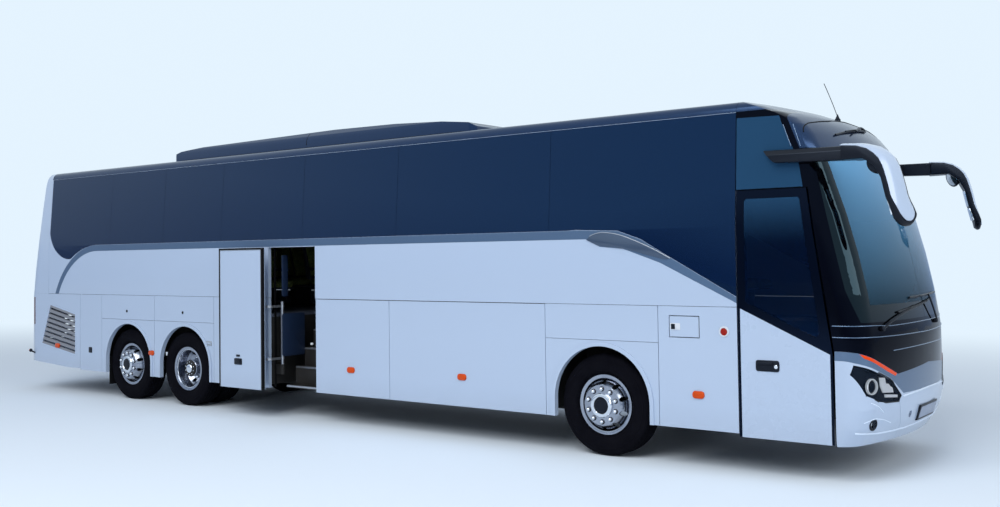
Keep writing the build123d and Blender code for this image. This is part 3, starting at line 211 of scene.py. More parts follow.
class Finish(Shading):
    """A material under construction: a Principled shader and the nodes that feed it."""

    def __init__(self, name, colour, roughness, metallic=0.0, coat=0.0, specular=0.5, tint=(1.0, 1.0, 1.0)):
        self.material = bpy.data.materials.new(name)
        self.material.use_nodes = True
        super().__init__(self.material.node_tree)
        self.shader = self.tree.nodes["Principled BSDF"]
        self.put("Base Color", (*colour, 1.0))
        self.put("Roughness", roughness)
        self.put("Metallic", metallic)
        self.put("Coat Weight", coat)
        self.put("Coat Roughness", 0.03)
        self.put("Specular IOR Level", specular)
        self.put("Specular Tint", (*tint, 1.0))

    def put(self, socket, value):
        """Sets a socket of the Principled shader to a number or colour, or links a value to it."""
        target = self.shader.inputs[socket]
        if isinstance(value, Value):
            self.tree.links.new(value.socket, target)
        else:
            target.default_value = value
        return self

    def where(self):
        """The three Object coordinates, as values."""
        position = self.node("TexCoord", {}, "Object")
        split = self.tree.nodes.new("ShaderNodeSeparateXYZ")
        self.tree.links.new(position.socket, split.inputs[0])
        return [Value(self.tree, split.outputs[i]) for i in range(3)]

    def noise(self, scale, detail=3.0, stretch=(1, 1, 1)):
        """Noise from 0 to 1 on Object coordinates, so many times a metre."""
        position = self.node("TexCoord", {}, "Object")
        stretched = self.node("Mapping", {}, Vector=position, Scale=stretch)
        return self.node("TexNoise", {}, 0, Vector=stretched, Scale=scale, Detail=detail)

    def bump(self, height, strength, distance):
        """Feeds the Normal socket from a height value."""
        return self.put("Normal", self.node("Bump", {}, Height=height, Strength=strength, Distance=distance))

    def grain(self, scale, detail, strength, distance):
        """A fine bump of noise, so many times a metre."""
        return self.bump(self.noise(scale, detail), strength, distance)

    def worn(self, least, more, scale, detail):
        """A roughness that rises in patches, from its least value by so much more."""
        return self.put("Roughness", least + more * self.noise(scale, detail))


print("helpers for materials are ready")

# %% [markdown]
# Coach paint is a solid white under clear lacquer. Up close it has a little orange peel, and road film greys the
# lowest hand's breadth of the skirts. Both come from noise on Object coordinates, so they stay put on every panel.


# %% Paints
def filmed(finish, clean, dirty, top=0.62):
    """A colour with road dirt mixed in, more towards the ground."""
    height = finish.where()[2]
    share = ((top - height) * 1.6 * finish.noise(2.3, 5.0)).clipped() * 0.55
    return finish.mix(share, clean, dirty)


WHITE = (0.425, 0.518, 0.665)
FILM = (0.20, 0.22, 0.25)
body_paint = Finish("coach_white_paint", WHITE, 0.28, coat=0.6)
body_paint.put("Base Color", filmed(body_paint, WHITE, FILM))
body_paint.worn(0.27, 0.02, 6.0, 4.0)
body_paint.grain(160.0, 2.0, 0.004, 0.001)

black_paint = Finish("roof_black_paint", (0.004, 0.010, 0.030), 0.12, specular=0.9, tint=(0.27, 0.50, 1.0))
black_paint.worn(0.10, 0.14, 5.0, 5.0)
black_paint.grain(150.0, 2.0, 0.02, 0.001)

mask_black = Finish("mask_black_gloss", (0.001, 0.001, 0.002), 0.06, specular=0.12, tint=(0.35, 0.52, 1.0))
mask_black.worn(0.05, 0.06, 8.0, 4.0)

silver_paint = Finish("silver_metallic_paint", (0.10, 0.17, 0.28), 0.32, metallic=0.75, coat=0.6)
flakes = silver_paint.noise(900.0, 1.0)
silver_paint.put("Base Color", silver_paint.mix(flakes, (0.070, 0.130, 0.225), (0.140, 0.210, 0.320)))
silver_paint.bump(flakes, 0.04, 0.0005)
print("paints:", body_paint.material.name, black_paint.material.name, silver_paint.material.name)

# %% [markdown]
# The side glazing is privacy glass, nearly black from outside. The windscreen and the door panes let more through.
# Both are a dark shader whose alpha rises where the glass is seen at a glancing angle, as real reflections do, so
# seats and steering wheel show through face on. The windscreen's foot and sides are printed black. Towards their
# tops the windscreen and door panes turn a lighter blue, a painted reflection of the sky.


# %% Glass
def glazing(name, colour, tint, shine):
    """Dark tinted glass with slight waves in its surface."""
    return Finish(name, colour, 0.02, specular=shine, tint=tint).grain(0.9, 1.0, 0.05, 0.02)


def let_through(glass, share, printed=0.0):
    """Lets a share of the light pass where the glass is seen face on, and none where it is printed."""
    glancing = glass.node("LayerWeight", {}, "Fresnel", Blend=0.35)
    return glass.put("Alpha", (1.0 - share + share * 1.3 * glancing + printed).clipped())


def graded_with_painted_sky(glass, heights, colours, shares, border=(0.0, 9.0)):
    """Grades a pane between two heights, towards a lighter colour that is a painted reflection of the sky. Below a
    height and beyond a distance from the middle it is printed black.
    """
    _, left, height = glass.where()
    climb = ((height - heights[0]) / (heights[1] - heights[0])).clipped()
    printed = (height.below(border[0]) + (left * left).above(border[1] ** 2)).clipped()
    glass.put("Base Color", glass.mix(printed, glass.mix(climb, *colours), (0.001, 0.001, 0.002)))
    return let_through(glass, shares[0] + (shares[1] - shares[0]) * climb, printed)


side_tint = glazing("privacy_glass", (0.001, 0.004, 0.016), (0.15, 0.42, 1.0), 0.85)
let_through(side_tint, 0.06)
lamp_cover = glazing("lamp_cover_glass", (0.010, 0.018, 0.035), (0.40, 0.65, 1.0), 0.4)
let_through(lamp_cover, 0.90)
# The second colour, lighter towards the top of the pane, is a painted reflection of the sky.
screen_tint_and_painted_sky = (0.006, 0.026, 0.046), (0.120, 0.360, 0.620)
screen_tint = glazing("windscreen_glass", screen_tint_and_painted_sky[0], (0.45, 0.80, 1.0), 0.35)
graded_with_painted_sky(screen_tint, (1.50, 2.95), screen_tint_and_painted_sky, (0.72, 0.16), (1.580, 1.07))
# The door panes' lighter top colour is a painted reflection of the sky too.
door_tint_and_painted_sky = (0.001, 0.004, 0.016), (0.018, 0.060, 0.120)
door_tint = glazing("door_glass", door_tint_and_painted_sky[0], (0.10, 0.36, 1.0), 0.30)
graded_with_painted_sky(door_tint, (2.15, 2.60), door_tint_and_painted_sky, (0.45, 0.15))
print("glass:", side_tint.material.name, screen_tint.material.name)

# %% [markdown]
# Polished forged wheels are bare metal turned on a lathe: fine rings about the hub, a little brake dust in the
# corners. Rubber is nearly black and matt, with a dusty bloom. The other metals and plastics are variations.

# %% Metals, rubber and plastics
alloy = Finish("polished_alloy", (0.78, 0.79, 0.82), 0.14, metallic=1.0)
alloy.worn(0.10, 0.18, 22.0, 5.0)
alloy.put("Base Color", alloy.mix(alloy.noise(9.0, 5.0), (0.22, 0.24, 0.29), (0.46, 0.49, 0.56)))
alloy.grain(240.0, 2.0, 0.05, 0.0006)

chrome = Finish("bright_metal", (0.72, 0.75, 0.80), 0.08, metallic=1.0)
chrome.worn(0.05, 0.10, 30.0, 3.0)

rubber = Finish("tyre_rubber", (0.003, 0.003, 0.005), 0.85, specular=0.05)
rubber_dust = rubber.noise(7.0, 6.0)
rubber.put("Base Color", rubber.mix(rubber_dust, (0.001, 0.001, 0.003), (0.006, 0.006, 0.009)))
rubber.grain(300.0, 3.0, 0.15, 0.0008)

seal_rubber = Finish("door_rubber", (0.003, 0.003, 0.004), 0.6, specular=0.15)
seal_rubber.grain(250.0, 2.0, 0.1, 0.0005)

chassis_black = Finish("chassis_black", (0.006, 0.006, 0.007), 0.55, specular=0.25)
chassis_dust = chassis_black.noise(4.0, 6.0)
chassis_black.put("Base Color", chassis_black.mix(chassis_dust, (0.004, 0.004, 0.005), (0.030, 0.028, 0.026)))
chassis_black.put("Roughness", 0.45 + 0.35 * chassis_dust)
chassis_black.grain(90.0, 4.0, 0.2, 0.001)

arm_plastic = Finish("moulded_black_plastic", (0.004, 0.004, 0.006), 0.32, specular=0.28, tint=(0.60, 0.75, 1.0))
arm_plastic.worn(0.26, 0.16, 40.0, 4.0)
arm_plastic.grain(700.0, 2.0, 0.12, 0.0004)

dash_plastic = Finish("dashboard_plastic", (0.030, 0.031, 0.034), 0.55)
dash_plastic.grain(500.0, 3.0, 0.3, 0.0006)

floor_cover = Finish("floor_cover", (0.06, 0.07, 0.09), 0.6)
floor_speckle = floor_cover.noise(260.0, 2.0).above(0.60)
floor_cover.put("Base Color", floor_cover.mix(floor_speckle, (0.045, 0.055, 0.085), (0.20, 0.22, 0.26)))

satin_metal = Finish("satin_metal", (0.42, 0.44, 0.48), 0.34, metallic=0.9)
satin_metal.worn(0.28, 0.16, 35.0, 3.0)
satin_metal.grain(260.0, 2.0, 0.05, 0.0005)

inset_silver = Finish("fin_inset_silver", (0.045, 0.075, 0.130), 0.30, metallic=0.5, coat=0.6)
inset_silver.worn(0.24, 0.14, 60.0, 3.0)

panel_blue = Finish("stairwell_panel", (0.010, 0.022, 0.055), 0.35)
panel_blue.worn(0.30, 0.20, 12.0, 4.0)
print("metals, rubber and plastics are ready")

# %% [markdown]
# Lamp lenses are clear or coloured plastic with a pressed pattern behind the surface. A fine ribbed bump gives the
# amber and red ones their optics without modelling each rib.


# %% Lenses
def lens(name, colour, rib_axis, ribs):
    """A coloured lens with fine ribs across one axis."""
    made = Finish(name, colour, 0.10, coat=0.10, specular=0.3, tint=(1.0, 0.45, 0.25))
    return made.bump((made.where()[rib_axis] * ribs).maths("SINE"), 0.25, 0.002)


amber_lens = lens("amber_lens", (0.80, 0.058, 0.002), 1, 900.0)
red_lens = lens("red_lens", (0.075, 0.004, 0.005), 2, 420.0)
marker_lens = lens("marker_lens", (0.62, 0.065, 0.006), 2, 1500.0)
reflector_red = lens("reflector_red", (0.30, 0.008, 0.008), 2, 1500.0)
light_guide = Finish("light_guide", (0.80, 0.84, 0.90), 0.15, coat=1.0)
light_guide.grain(60.0, 2.0, 0.1, 0.001)
light_guide.put("Emission Color", (0.80, 0.90, 1.0, 1.0))
light_guide.put("Emission Strength", 0.35)
mirror_glass = Finish("mirror_glass", (0.75, 0.80, 0.85), 0.03, metallic=1.0)
mirror_glass.grain(3.0, 1.0, 0.02, 0.001)
plate_white = Finish("blank_plate", (0.62, 0.65, 0.70), 0.4)
plate_white.grain(60.0, 2.0, 0.05, 0.0006)
plate_grey = Finish("blank_number_plate", (0.27, 0.32, 0.42), 0.35)
plate_grey.worn(0.32, 0.10, 14.0, 3.0)
print("lenses are ready")

# %% [markdown]
# CAD nodes whose shape is right keep it and only get their finish. Their meshes come as loose triangles, so the
# panels whose curved faces are in plain view are copied, merged and smoothed, and the copy stands for the node.


# %% Helpers for pieces
def leave():
    """Back to object mode, where it isn't on already."""
    if bpy.context.mode != "OBJECT":
        bpy.ops.object.mode_set(mode="OBJECT")


def only(*objects):
    """Leaves just these objects selected, the first one active."""
    leave()
    bpy.ops.object.select_all(action="DESELECT")
    for item in objects:
        item.select_set(True)
    bpy.context.view_layer.objects.active = objects[0]


def edit(piece):
    """Enters a piece's edit mode with everything selected."""
    only(piece)
    bpy.ops.object.mode_set(mode="EDIT")
    bpy.ops.mesh.select_all(action="SELECT")


def named(name):
    """The active object, under its name."""
    piece = bpy.context.object
    piece.name = name
    piece.data.name = name
    return piece


def modify(piece, kind, **settings):
    """Adds a modifier with its settings and applies it."""
    only(piece)
    modifier = piece.modifiers.new(kind.lower(), kind)
    for key, value in settings.items():
        setattr(modifier, key, value)
    bpy.ops.object.modifier_apply(modifier=modifier.name)
    return piece


def smooth(piece, degrees=35):
    """Smooth shading across edges flatter than an angle."""
    only(piece)
    bpy.ops.object.shade_smooth_by_angle(angle=math.radians(degrees))
    return piece


def finish_as(piece, finish, body="coach"):
    """Gives a piece its material and the body that it rides on."""
    piece.data.materials.clear()
    piece.data.materials.append(finish.material)
    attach(piece, body)
    return piece


def dress(name, parts, finish, body="coach"):
    """Joins new parts into one piece and finishes it."""
    return finish_as(joined(name, *parts), finish, body)


def keep(node_name, finish):
    """A CAD node that keeps its shape gets its finish in each slot."""
    node = nodes[node_name]
    if not node.data.materials:
        node.data.materials.append(finish.material)
    for i in range(len(node.data.materials)):
        node.data.materials[i] = finish.material


def recast(node_name, finish, degrees=30):
    """A merged and smoothed copy of a CAD node, which stands for it."""
    node = nodes[node_name]
    copy = added(node_name + "_skin", node.data.copy())
    edit(copy)
    bpy.ops.mesh.remove_doubles(threshold=0.00005)
    bpy.ops.mesh.customdata_custom_splitnormals_clear()
    leave()
    smooth(copy, degrees)
    finish_as(copy, finish, node["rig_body"])
    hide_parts(node_name)
    return copy


print("helpers for pieces are ready")

# %% [markdown]
# Which finish a node gets follows from what it is on the coach. Two tables hold that, so a reader sees all of it at
# once: nodes in plain view get a smoothed copy, the rest only a material. Weighted normals keep the large flat faces
# flat where they meet round edges, which would otherwise look dented.

# %% Finishes of the CAD nodes
skins = {
    "front_mask": (mask_black, "black_paint"),
    "front_dome": (black_paint, "black_paint"),
    "windscreen": (screen_tint, "dark_glass"),
    "silver_wing": (silver_paint, "silver_paint"),
    "front_bumper": (body_paint, "body_paint"),
    "front_door_leaf": (body_paint, "body_paint"),
    "driver_side_panel": (body_paint, "body_paint"),
    "cab_panes": (door_tint, "dark_glass"),
    "front_door_glass": (door_tint, "dark_glass"),
    "rear_cap": (body_paint, "body_paint"),
    "rear_bumper": (body_paint, "body_paint"),
    "rear_quarter_panels": (body_paint, "body_paint"),
    "rear_window": (side_tint, "dark_glass"),
    "engine_lid": (body_paint, "body_paint"),
    "roof_shell": (black_paint, "black_paint"),
    "air_conditioner": (black_paint, "black_paint"),
    "side_glass": (side_tint, "dark_glass"),
    "belt_strips": (silver_paint, "silver_paint"),
    "side_walls": (body_paint, "body_paint"),
    "skirt_panels": (body_paint, "body_paint"),
    "front_indicators": (amber_lens, "amber_lens"),
    "tail_lamps": (red_lens, "red_lens"),
    "headlamps": (lamp_cover, "clear_lens"),
}
for node_name, (finish, slot_name) in skins.items():
    modify(recast(node_name, finish), "WEIGHTED_NORMAL", keep_sharp=True)

plain = {
    body_paint: [n for n in nodes if n.startswith("luggage_flap")] + ["fuel_flap", "mid_door_leaf"],
    black_paint: ["roof_hatch_front", "roof_hatch_rear"],
    chassis_black: [
        "underfloor",
        "axles",
        "steering_knuckle_left",
        "steering_knuckle_right",
        "carrier_brackets",
        "flap_hinges",
        "engine_block",
        "body_frame",
        "door_steps",
    ],
    satin_metal: ["front_door_arms", "mid_door_arms"],
    floor_cover: ["floor_deck"],
    dash_plastic: ["dashboard"],
}
for finish, names in plain.items():
    for node_name in names:
        keep(node_name, finish)
print("finished", len(skins), "skins and", sum(len(v) for v in plain.values()), "nodes")

# %% [markdown]
# New pieces start from primitives, as by hand. Most are one of three shapes. A slab is a circle whose corners are
# moved to an outline and then extruded. A turned piece is a closed profile that the spin tool carries round an axis.
# A rod is a curve with a round section, made into a mesh.


# %% Shapes that most pieces start from
def profile_ring(name, points, fill):
    """A circle primitive with its corners moved to the given points."""
    leave()
    bpy.ops.object.select_all(action="DESELECT")
    bpy.ops.mesh.primitive_circle_add(vertices=len(points), fill_type=fill, location=(0, 0, 0))
    piece = named(name)
    for vertex, point in zip(piece.data.vertices, points):
        vertex.co = point
    return piece


def closed_up(piece, merge=0.00002):
    """Merges doubles and turns every face outwards."""
    edit(piece)
    bpy.ops.mesh.remove_doubles(threshold=merge)
    bpy.ops.mesh.normals_make_consistent(inside=False)
    leave()
    return piece


def slab(name, corners, along, bevel=0.0, segments=2):
    """A flat outline pushed along a vector, with its edges rounded."""
    piece = profile_ring(name, corners, "NGON")
    edit(piece)
    bpy.ops.mesh.extrude_region_move(TRANSFORM_OT_translate={"value": tuple(along)})
    leave()
    closed_up(piece)
    if bevel:
        modify(piece, "BEVEL", width=bevel, segments=segments, limit_method="ANGLE", angle_limit=math.radians(40))
    return smooth(piece)


def turned(name, profile, centre, axis, steps=48, degrees=32):
    """A piece of revolution. Each row of the closed profile is a radius and a distance along the axis."""
    axis = Vector(axis).normalized()
    across = axis.orthogonal().normalized()
    points = [Vector(centre) + across * radius + axis * reach for radius, reach in profile]
    piece = profile_ring(name, points, "NOTHING")
    edit(piece)
    bpy.ops.mesh.spin(steps=steps, angle=2 * math.pi, center=tuple(centre), axis=tuple(axis))
    leave()
    closed_up(piece)
    return smooth(piece, degrees)


def rod(name, points, radius, bends=True, sides=3):
    """A round rod along a line of points, rounded at its bends or straight between them."""
    data = bpy.data.curves.new(name, "CURVE")
    data.dimensions = "3D"
    data.bevel_depth = radius
    data.bevel_resolution = sides
    data.resolution_u = 6
    data.use_fill_caps = True
    line = data.splines.new("NURBS" if bends else "POLY")
    line.points.add(len(points) - 1)
    for knot, point in zip(line.points, points):
        knot.co = (*point, 1.0)
    line.order_u = 3
    line.use_endpoint_u = True
    piece = added(name, data)
    only(piece)
    bpy.ops.object.convert(target="MESH")
    return smooth(closed_up(piece), 50)


def joined(name, *pieces):
    """Several pieces as one."""
    only(*pieces)
    bpy.ops.object.join()
    return named(name)


def twin(piece, name, matrix):
    """A copy of a piece with its own mesh, moved or mirrored by a matrix."""
    made = added(name, piece.data.copy())
    made.data.name = name
    made.data.transform(matrix)
    if matrix.determinant() < 0:
        made.data.flip_normals()
    return made


def ring_of(piece, name, count, centre, axis):
    """Copies of a piece at equal turns about an axis, joined into one."""
    to_centre = Matrix.Translation(Vector(centre))
    copies = []
    for i in range(count):
        turn = Matrix.Rotation(2 * math.pi * i / count, 4, Vector(axis))
        copies.append(twin(piece, f"{name}_{i}", to_centre @ turn @ to_centre.inverted()))
    bpy.data.objects.remove(piece)
    return joined(name, *copies)


def rounded(low, high, radius, steps=4):
    """A rectangle's outline with round corners, from its low and high corner in the flat."""
    outline = []
    for x, z, start in ((high[0], high[1], 0), (low[0], high[1], 90), (low[0], low[1], 180), (high[0], low[1], 270)):
        centre_x = x - radius if x == high[0] else x + radius
        centre_z = z - radius if z == high[1] else z + radius
        for i in range(steps + 1):
            turn = math.radians(start + 90 * i / steps)
            outline.append((centre_x + radius * math.cos(turn), centre_z + radius * math.sin(turn)))
    return outline


ACROSS = Matrix.Diagonal((1, -1, 1, 1))
print("shapes: slab, turned, rod")

# %% [markdown]
# A coach tyre is a shell of revolution: beads on the rim, round sidewalls with moulded rings and a tread with four
# grooves. So its profile is spun once. The shoulder gets its notches by insetting every second face. That one tyre is
# then copied to all eight places, each copy with its own mesh.

# %% Tyre
WHEEL_PLANE, TYRE_STEPS = 1.046, 96
INNER_ROW, NUTS_IN = -0.34, -0.266  # how far further in the twin wheels' inner row and their nuts sit
wheel_middle = Vector((axle_x, RIGHT * WHEEL_PLANE, hub_z))
OUTWARD = (0, RIGHT, 0)
wheel_bodies = {"front": "front_wheel", "drive": "drive_wheels", "tag": "tag_wheel"}


def to_wheel(spot, side, shift):
    """The matrix from the front right wheel to another wheel spot, and so much further out."""
    low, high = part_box(f"{spot}_tyre_right")
    move = Matrix.Translation(((low.x + high.x) / 2 - axle_x, RIGHT * shift, 0))
    return move if side == RIGHT else ACROSS @ move


def to_all_wheels(pattern, finish, spots):
    """Copies of a piece of the front right wheel at each spot on both sides. The pattern itself goes."""
    copies = {}
    for spot, shift in spots:
        for side, hand in SIDES:
            row = "inner_" if shift == INNER_ROW else ""
            copy = twin(pattern, f"{pattern.name}_{row}{spot}_{hand}", to_wheel(spot, side, shift))
            finish_as(copy, finish, f"{wheel_bodies[spot]}_{hand}")
            copies[spot, hand, row] = copy
    bpy.data.objects.remove(pattern)
    return copies


tyre_half = [  # radius and distance from the middle, in mm, from the tread to the bead
    *((522, 0), (522, 25), (520.5, 27), (510, 28.5), (510, 34.5), (520.5, 36), (522, 38)),
    *((522, 71), (520.5, 73), (510, 74.5), (510, 80.5), (520.5, 82), (521.6, 84)),
    *((521, 104), (514, 121), (505, 128.5), (496, 136), (488, 139), (470, 143), (456, 145.5)),
    *((453, 148), (447, 148.3), (444, 146.5), (425, 148.5), (400, 148.8), (375, 146), (354, 138.5)),
    *((350, 139.5), (345, 136), (330, 126), (318, 114), (311, 108), (306, 105.5), (296, 104), (286, 103)),
]
tyre_ring = tyre_half + [(radius, -reach) for radius, reach in reversed(tyre_half[1:])]
tyre = turned("tyre", [(r / 1000, w / 1000) for r, w in tyre_ring], wheel_middle, OUTWARD, TYRE_STEPS)


def choose_faces(piece, test):
    """Enters edit mode with just the faces selected that pass a test."""
    edit(piece)
    bpy.ops.mesh.select_mode(type="FACE")
    bpy.ops.mesh.select_all(action="DESELECT")
    leave()
    for face in piece.data.polygons:
        face.select = test(face)
    bpy.ops.object.mode_set(mode="EDIT")


def is_notch(face):
    """True for every second face of the two shoulders."""
    spoke = face.center - wheel_middle
    turn = math.atan2(spoke.z, spoke.x) / (2 * math.pi) * TYRE_STEPS
    return 0.104 < abs(spoke.y) < 0.121 and math.floor(turn) % 2 == 0


choose_faces(tyre, is_notch)
bpy.ops.mesh.inset(thickness=0.003, depth=-0.006, use_individual=True)
leave()
tyre_spots = [("front", 0), ("tag", 0), ("drive", 0), ("drive", INNER_ROW)]
for (spot, hand, row), copy in to_all_wheels(tyre, rubber, tyre_spots).items():
    if not row:
        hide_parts(f"{spot}_tyre_{hand}")
print("one tyre profile of", len(tyre_ring), "points, copied to eight places")

# %% [markdown]
# The forged rims are copies of the CAD's turned shape with its ten vents. The single wheels' discs are pulled out by
# 47 mm more, as in the photo, so that their walls slope. What the CAD leaves out goes on them: ten wheel nuts with
# bright caps on dark flanges, whose black is partly dirt and partly painted shade round each nut, a bright centre ring
# that stands proud and a dark hub cap in it. The twin wheels' discs face each other, so there the nuts sit deep in the
# dish and the hub stands out of it.

# %% Wheel nuts, hub caps and rings
PROUD = 0.047  # metres by which the single wheels' discs are pulled out
DISC_EDGE, DISC_FOOT = 0.212, 0.272  # radii between which the pull dies out
for spot in wheel_bodies:
    for side, hand in SIDES:
        rim = recast(f"{spot}_rim_{hand}", alloy, 25)
        low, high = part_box(f"{spot}_tyre_{hand}")
        for vertex in rim.data.vertices:
            radius = math.hypot(vertex.co.x - (low.x + high.x) / 2, vertex.co.z - hub_z)
            if spot != "drive" and side * vertex.co.y > WHEEL_PLANE + 0.050:
                share = (DISC_FOOT - radius) / (DISC_FOOT - DISC_EDGE)
                vertex.co.y += side * PROUD * min(1.0, max(0.0, share))
        smooth(rim, 25)


def wheel_piece(name, rows, radius, steps, count):
    """A turned piece of the front right wheel, in mm, by itself at the hub or so many times on a circle."""
    centre = wheel_middle + Vector((0, 0, radius / 1000))
    piece = turned(name, [(r / 1000, w / 1000) for r, w in rows], centre, OUTWARD, steps)
    return piece if count == 1 else ring_of(piece, name, count, wheel_middle, OUTWARD)


single, dished = [("front", PROUD), ("tag", PROUD)], [("drive", NUTS_IN)]
# The flanges' black is partly dirt and partly painted shade round each nut.
nut_flange = [(0, 140), (25, 140), (27, 143), (23, 147), (19, 149), (0, 149)]
nut_cap = [(0, 146), (19.5, 146), (19.5, 160), (17.5, 166), (12, 171), (6, 173), (0, 173.5)]
centre_ring = [(84, 138), (124, 138), (124, 160), (118, 168), (104, 172), (90, 172), (84, 166)]
dark_cap = [(0, 150), (84, 150), (84, 160), (78, 167), (62, 169), (60, 172), (30, 174), (0, 174)]
barrel_step = [(271.5, 62), (271.5, 106), (264, 106), (258, 96), (258, 72)]
twin_flange = [(56, 74), (116, 74), (117, 82), (112, 88), (62, 90), (56, 90)]
twin_cap = [(0, 80), (62, 80), (61, 104), (54, 111), (36, 115), (0, 116)]
stud = [(0, 86), (8, 86), (8, 97), (6, 100), (0, 101)]
NUT_CIRCLE, STUD_CIRCLE = 167.5, 90
WHEEL_PIECES = [  # name, profile, radius of the circle that it repeats on, steps, how many, finish, slot, wheels
    ("nut_flanges", nut_flange, NUT_CIRCLE, 20, 10, chassis_black, "chassis", single + dished),
    ("nut_caps", nut_cap, NUT_CIRCLE, 16, 10, chrome, "polished_alloy", single + dished),
    ("hub_ring", centre_ring, 0, 40, 1, chrome, "polished_alloy", single),
    ("hub_cap", dark_cap, 0, 40, 1, arm_plastic, "trim_plastic", single),
    ("barrel_step", barrel_step, 0, 96, 1, chrome, "polished_alloy", [("drive", 0)]),
    ("hub_flange", twin_flange, 0, 40, 1, chassis_black, "chassis", [("drive", 0)]),
    ("hub_bright_cap", twin_cap, 0, 40, 1, chrome, "polished_alloy", [("drive", 0)]),
    ("hub_studs", stud, STUD_CIRCLE, 12, 10, chrome, "polished_alloy", [("drive", 0)]),
]
for *shape, finish, slot_name, spots in WHEEL_PIECES:
    to_all_wheels(wheel_piece(*shape), finish, spots)
print("nuts, rings and caps are on six wheels")

# %% [markdown]
# Trim on the coach's skin has to sit on it, and the front is curved both ways. A line sent at the CAD's faces finds
# where a piece touches and which way the skin faces there.

# %% Points on the skin
from mathutils.bvhtree import BVHTree

FRONT = ("front_mask", "windscreen", "front_dome", "silver_wing", "front_bumper", "headlamps", "front_indicators")
FAR_AHEAD, FAR_ASIDE, FAR_UP = 12, 5, 5  # where lines start, well outside the coach
faces_of = {}


def touch(node_names, start, toward, lift=0.0):
    """Where a line first meets one of the nodes, lifted off its face, and that face's normal."""
    nearest = None
    for name in node_names:
        if name not in faces_of:
            mesh = nodes[name].data
            faces_of[name] = BVHTree.FromPolygons(
                [v.co for v in mesh.vertices], [list(p.vertices) for p in mesh.polygons]
            )
        point, normal, _, distance = faces_of[name].ray_cast(Vector(start), Vector(toward))
        if point is not None and (nearest is None or distance < nearest[2]):
            nearest = (point, normal, distance)
    return nearest and (nearest[0] + nearest[1] * lift, nearest[1])


def on_front(left, high, lift=0.0):
    """The point of the coach's front at a place to the left and a height, or just beside it over a seam's gap."""
    for aside, higher in ((0, 0), (0, 0.007), (0, -0.007), (0.008, 0), (-0.008, 0), (0, 0.016)):
        found = touch(FRONT, (FAR_AHEAD, left + aside, high + higher), (-1, 0, 0), lift)
        if found:
            return found[0]


def along_front(places, step=0.08, lift=0.0):
    """Points along the front through (left, high) places, no further apart than a step."""
    points = []
    for (left, high), (to_left, to_high) in zip(places, places[1:]):
        steps = max(1, math.ceil(math.hypot(to_left - left, to_high - high) / step))
        for i in range(steps):
            points.append(on_front(left + (to_left - left) * i / steps, high + (to_high - high) * i / steps, lift))
    return points + [on_front(*places[-1], lift)]


def front_rod(name, places, radius, lift=0.0):
    """A rod that lies along the front through (left, high) places."""
    return rod(name, along_front(places, 0.08, lift), radius)


def mirrored(places):
    """Places from the right to the middle, carried on to the left."""
    return places + [(-left, high) for left, high in reversed(places) if left]


print("windscreen's foot is", round(on_front(0.1, 1.5).x - axle_x, 3), "m ahead of the axle")

# %% [markdown]
# A headlamp is a clear cover over a dark bowl with a round projector, a bright reflector and a bar, and a dark rim
# round it. The CAD's lamp is one solid piece of the front wall, so its outer faces become the cover and the faces
# behind them the bowl. The fog lamps in the same node are split by the same test.


# %% Headlamps
def faces_out(face):
    """True for faces that look forwards or to their own side."""
    side = RIGHT if face.center.y < 0 else LEFT
    return face.normal.dot(Vector((0.8, 0.6 * side, 0))) > 0.45


lamp_bowl = Finish("lamp_bowl", (0.006, 0.012, 0.026), 0.45, metallic=0.2, specular=0.2)
lamp_bowl.worn(0.40, 0.1, 4.0, 2.0)
covers = bpy.data.objects["headlamps_skin"]
choose_faces(covers, lambda face: not faces_out(face))
bpy.ops.mesh.separate(type="SELECTED")
leave()
bowls = next(piece for piece in bpy.context.selected_objects if piece != covers)
bowls.name = "lamp_bowls"
finish_as(bowls, lamp_bowl)

REFLECTOR = [(1.010, 0.940), (0.935, 0.934), (0.925, 0.882), (0.880, 0.876), (0.850, 0.850), (0.815, 0.835)]
REFLECTOR += [(0.803, 0.792), (0.965, 0.804), (1.000, 0.862)]
LOWER_BAR = [(0.935, 0.786), (0.735, 0.766), (0.735, 0.742), (0.935, 0.760)]
LAMP_EDGE = [(1.190, 0.795), (1.060, 0.735), (0.948, 0.716), (0.735, 0.706), (0.690, 0.757), (0.850, 0.905)]
LAMP_EDGE += [(1.050, 0.984)]
reflectors, lamp_rims, projector_rings, projector_eyes = [], [], [], []
for side in (RIGHT, LEFT):
    eye = on_front(side * 1.118, 0.868, -0.034)
    looking = (0.93, 0.36 * side, 0)
    ring = [(0.058, 0), (0.072, 0), (0.072, 0.018), (0.068, 0.024), (0.062, 0.024), (0.058, 0.016)]
    projector_rings.append(turned("ring", ring, eye, looking, 36))
    dome = [(0, 0), (0.057, 0), (0.057, 0.004), (0.042, 0.014), (0.022, 0.020), (0, 0.021)]
    projector_eyes.append(turned("eye", dome, eye, looking, 32))
    for outline in (REFLECTOR, LOWER_BAR):
        points = [on_front(side * left, high, -0.010) for left, high in outline]
        reflectors.append(slab("reflector", points, (-0.012, 0, 0)))
    edge = along_front([(side * left, high) for left, high in LAMP_EDGE], 0.02)
    lamp_rims.append(rod("lamp_rim", edge, 0.006, bends=False))
dress("projector_rings", projector_rings, light_guide)
dress("projector_eyes", projector_eyes, lamp_bowl)
dress("lamp_reflectors", reflectors, light_guide)
dress("lamp_rims", lamp_rims, arm_plastic)
print("headlamps have covers, bowls, projectors, reflectors and rims")

# %% [markdown]
# The fog lamps sit low in the bumper, each in a dark moulded ring with a small lens. They are turned round the line
# along which they look.

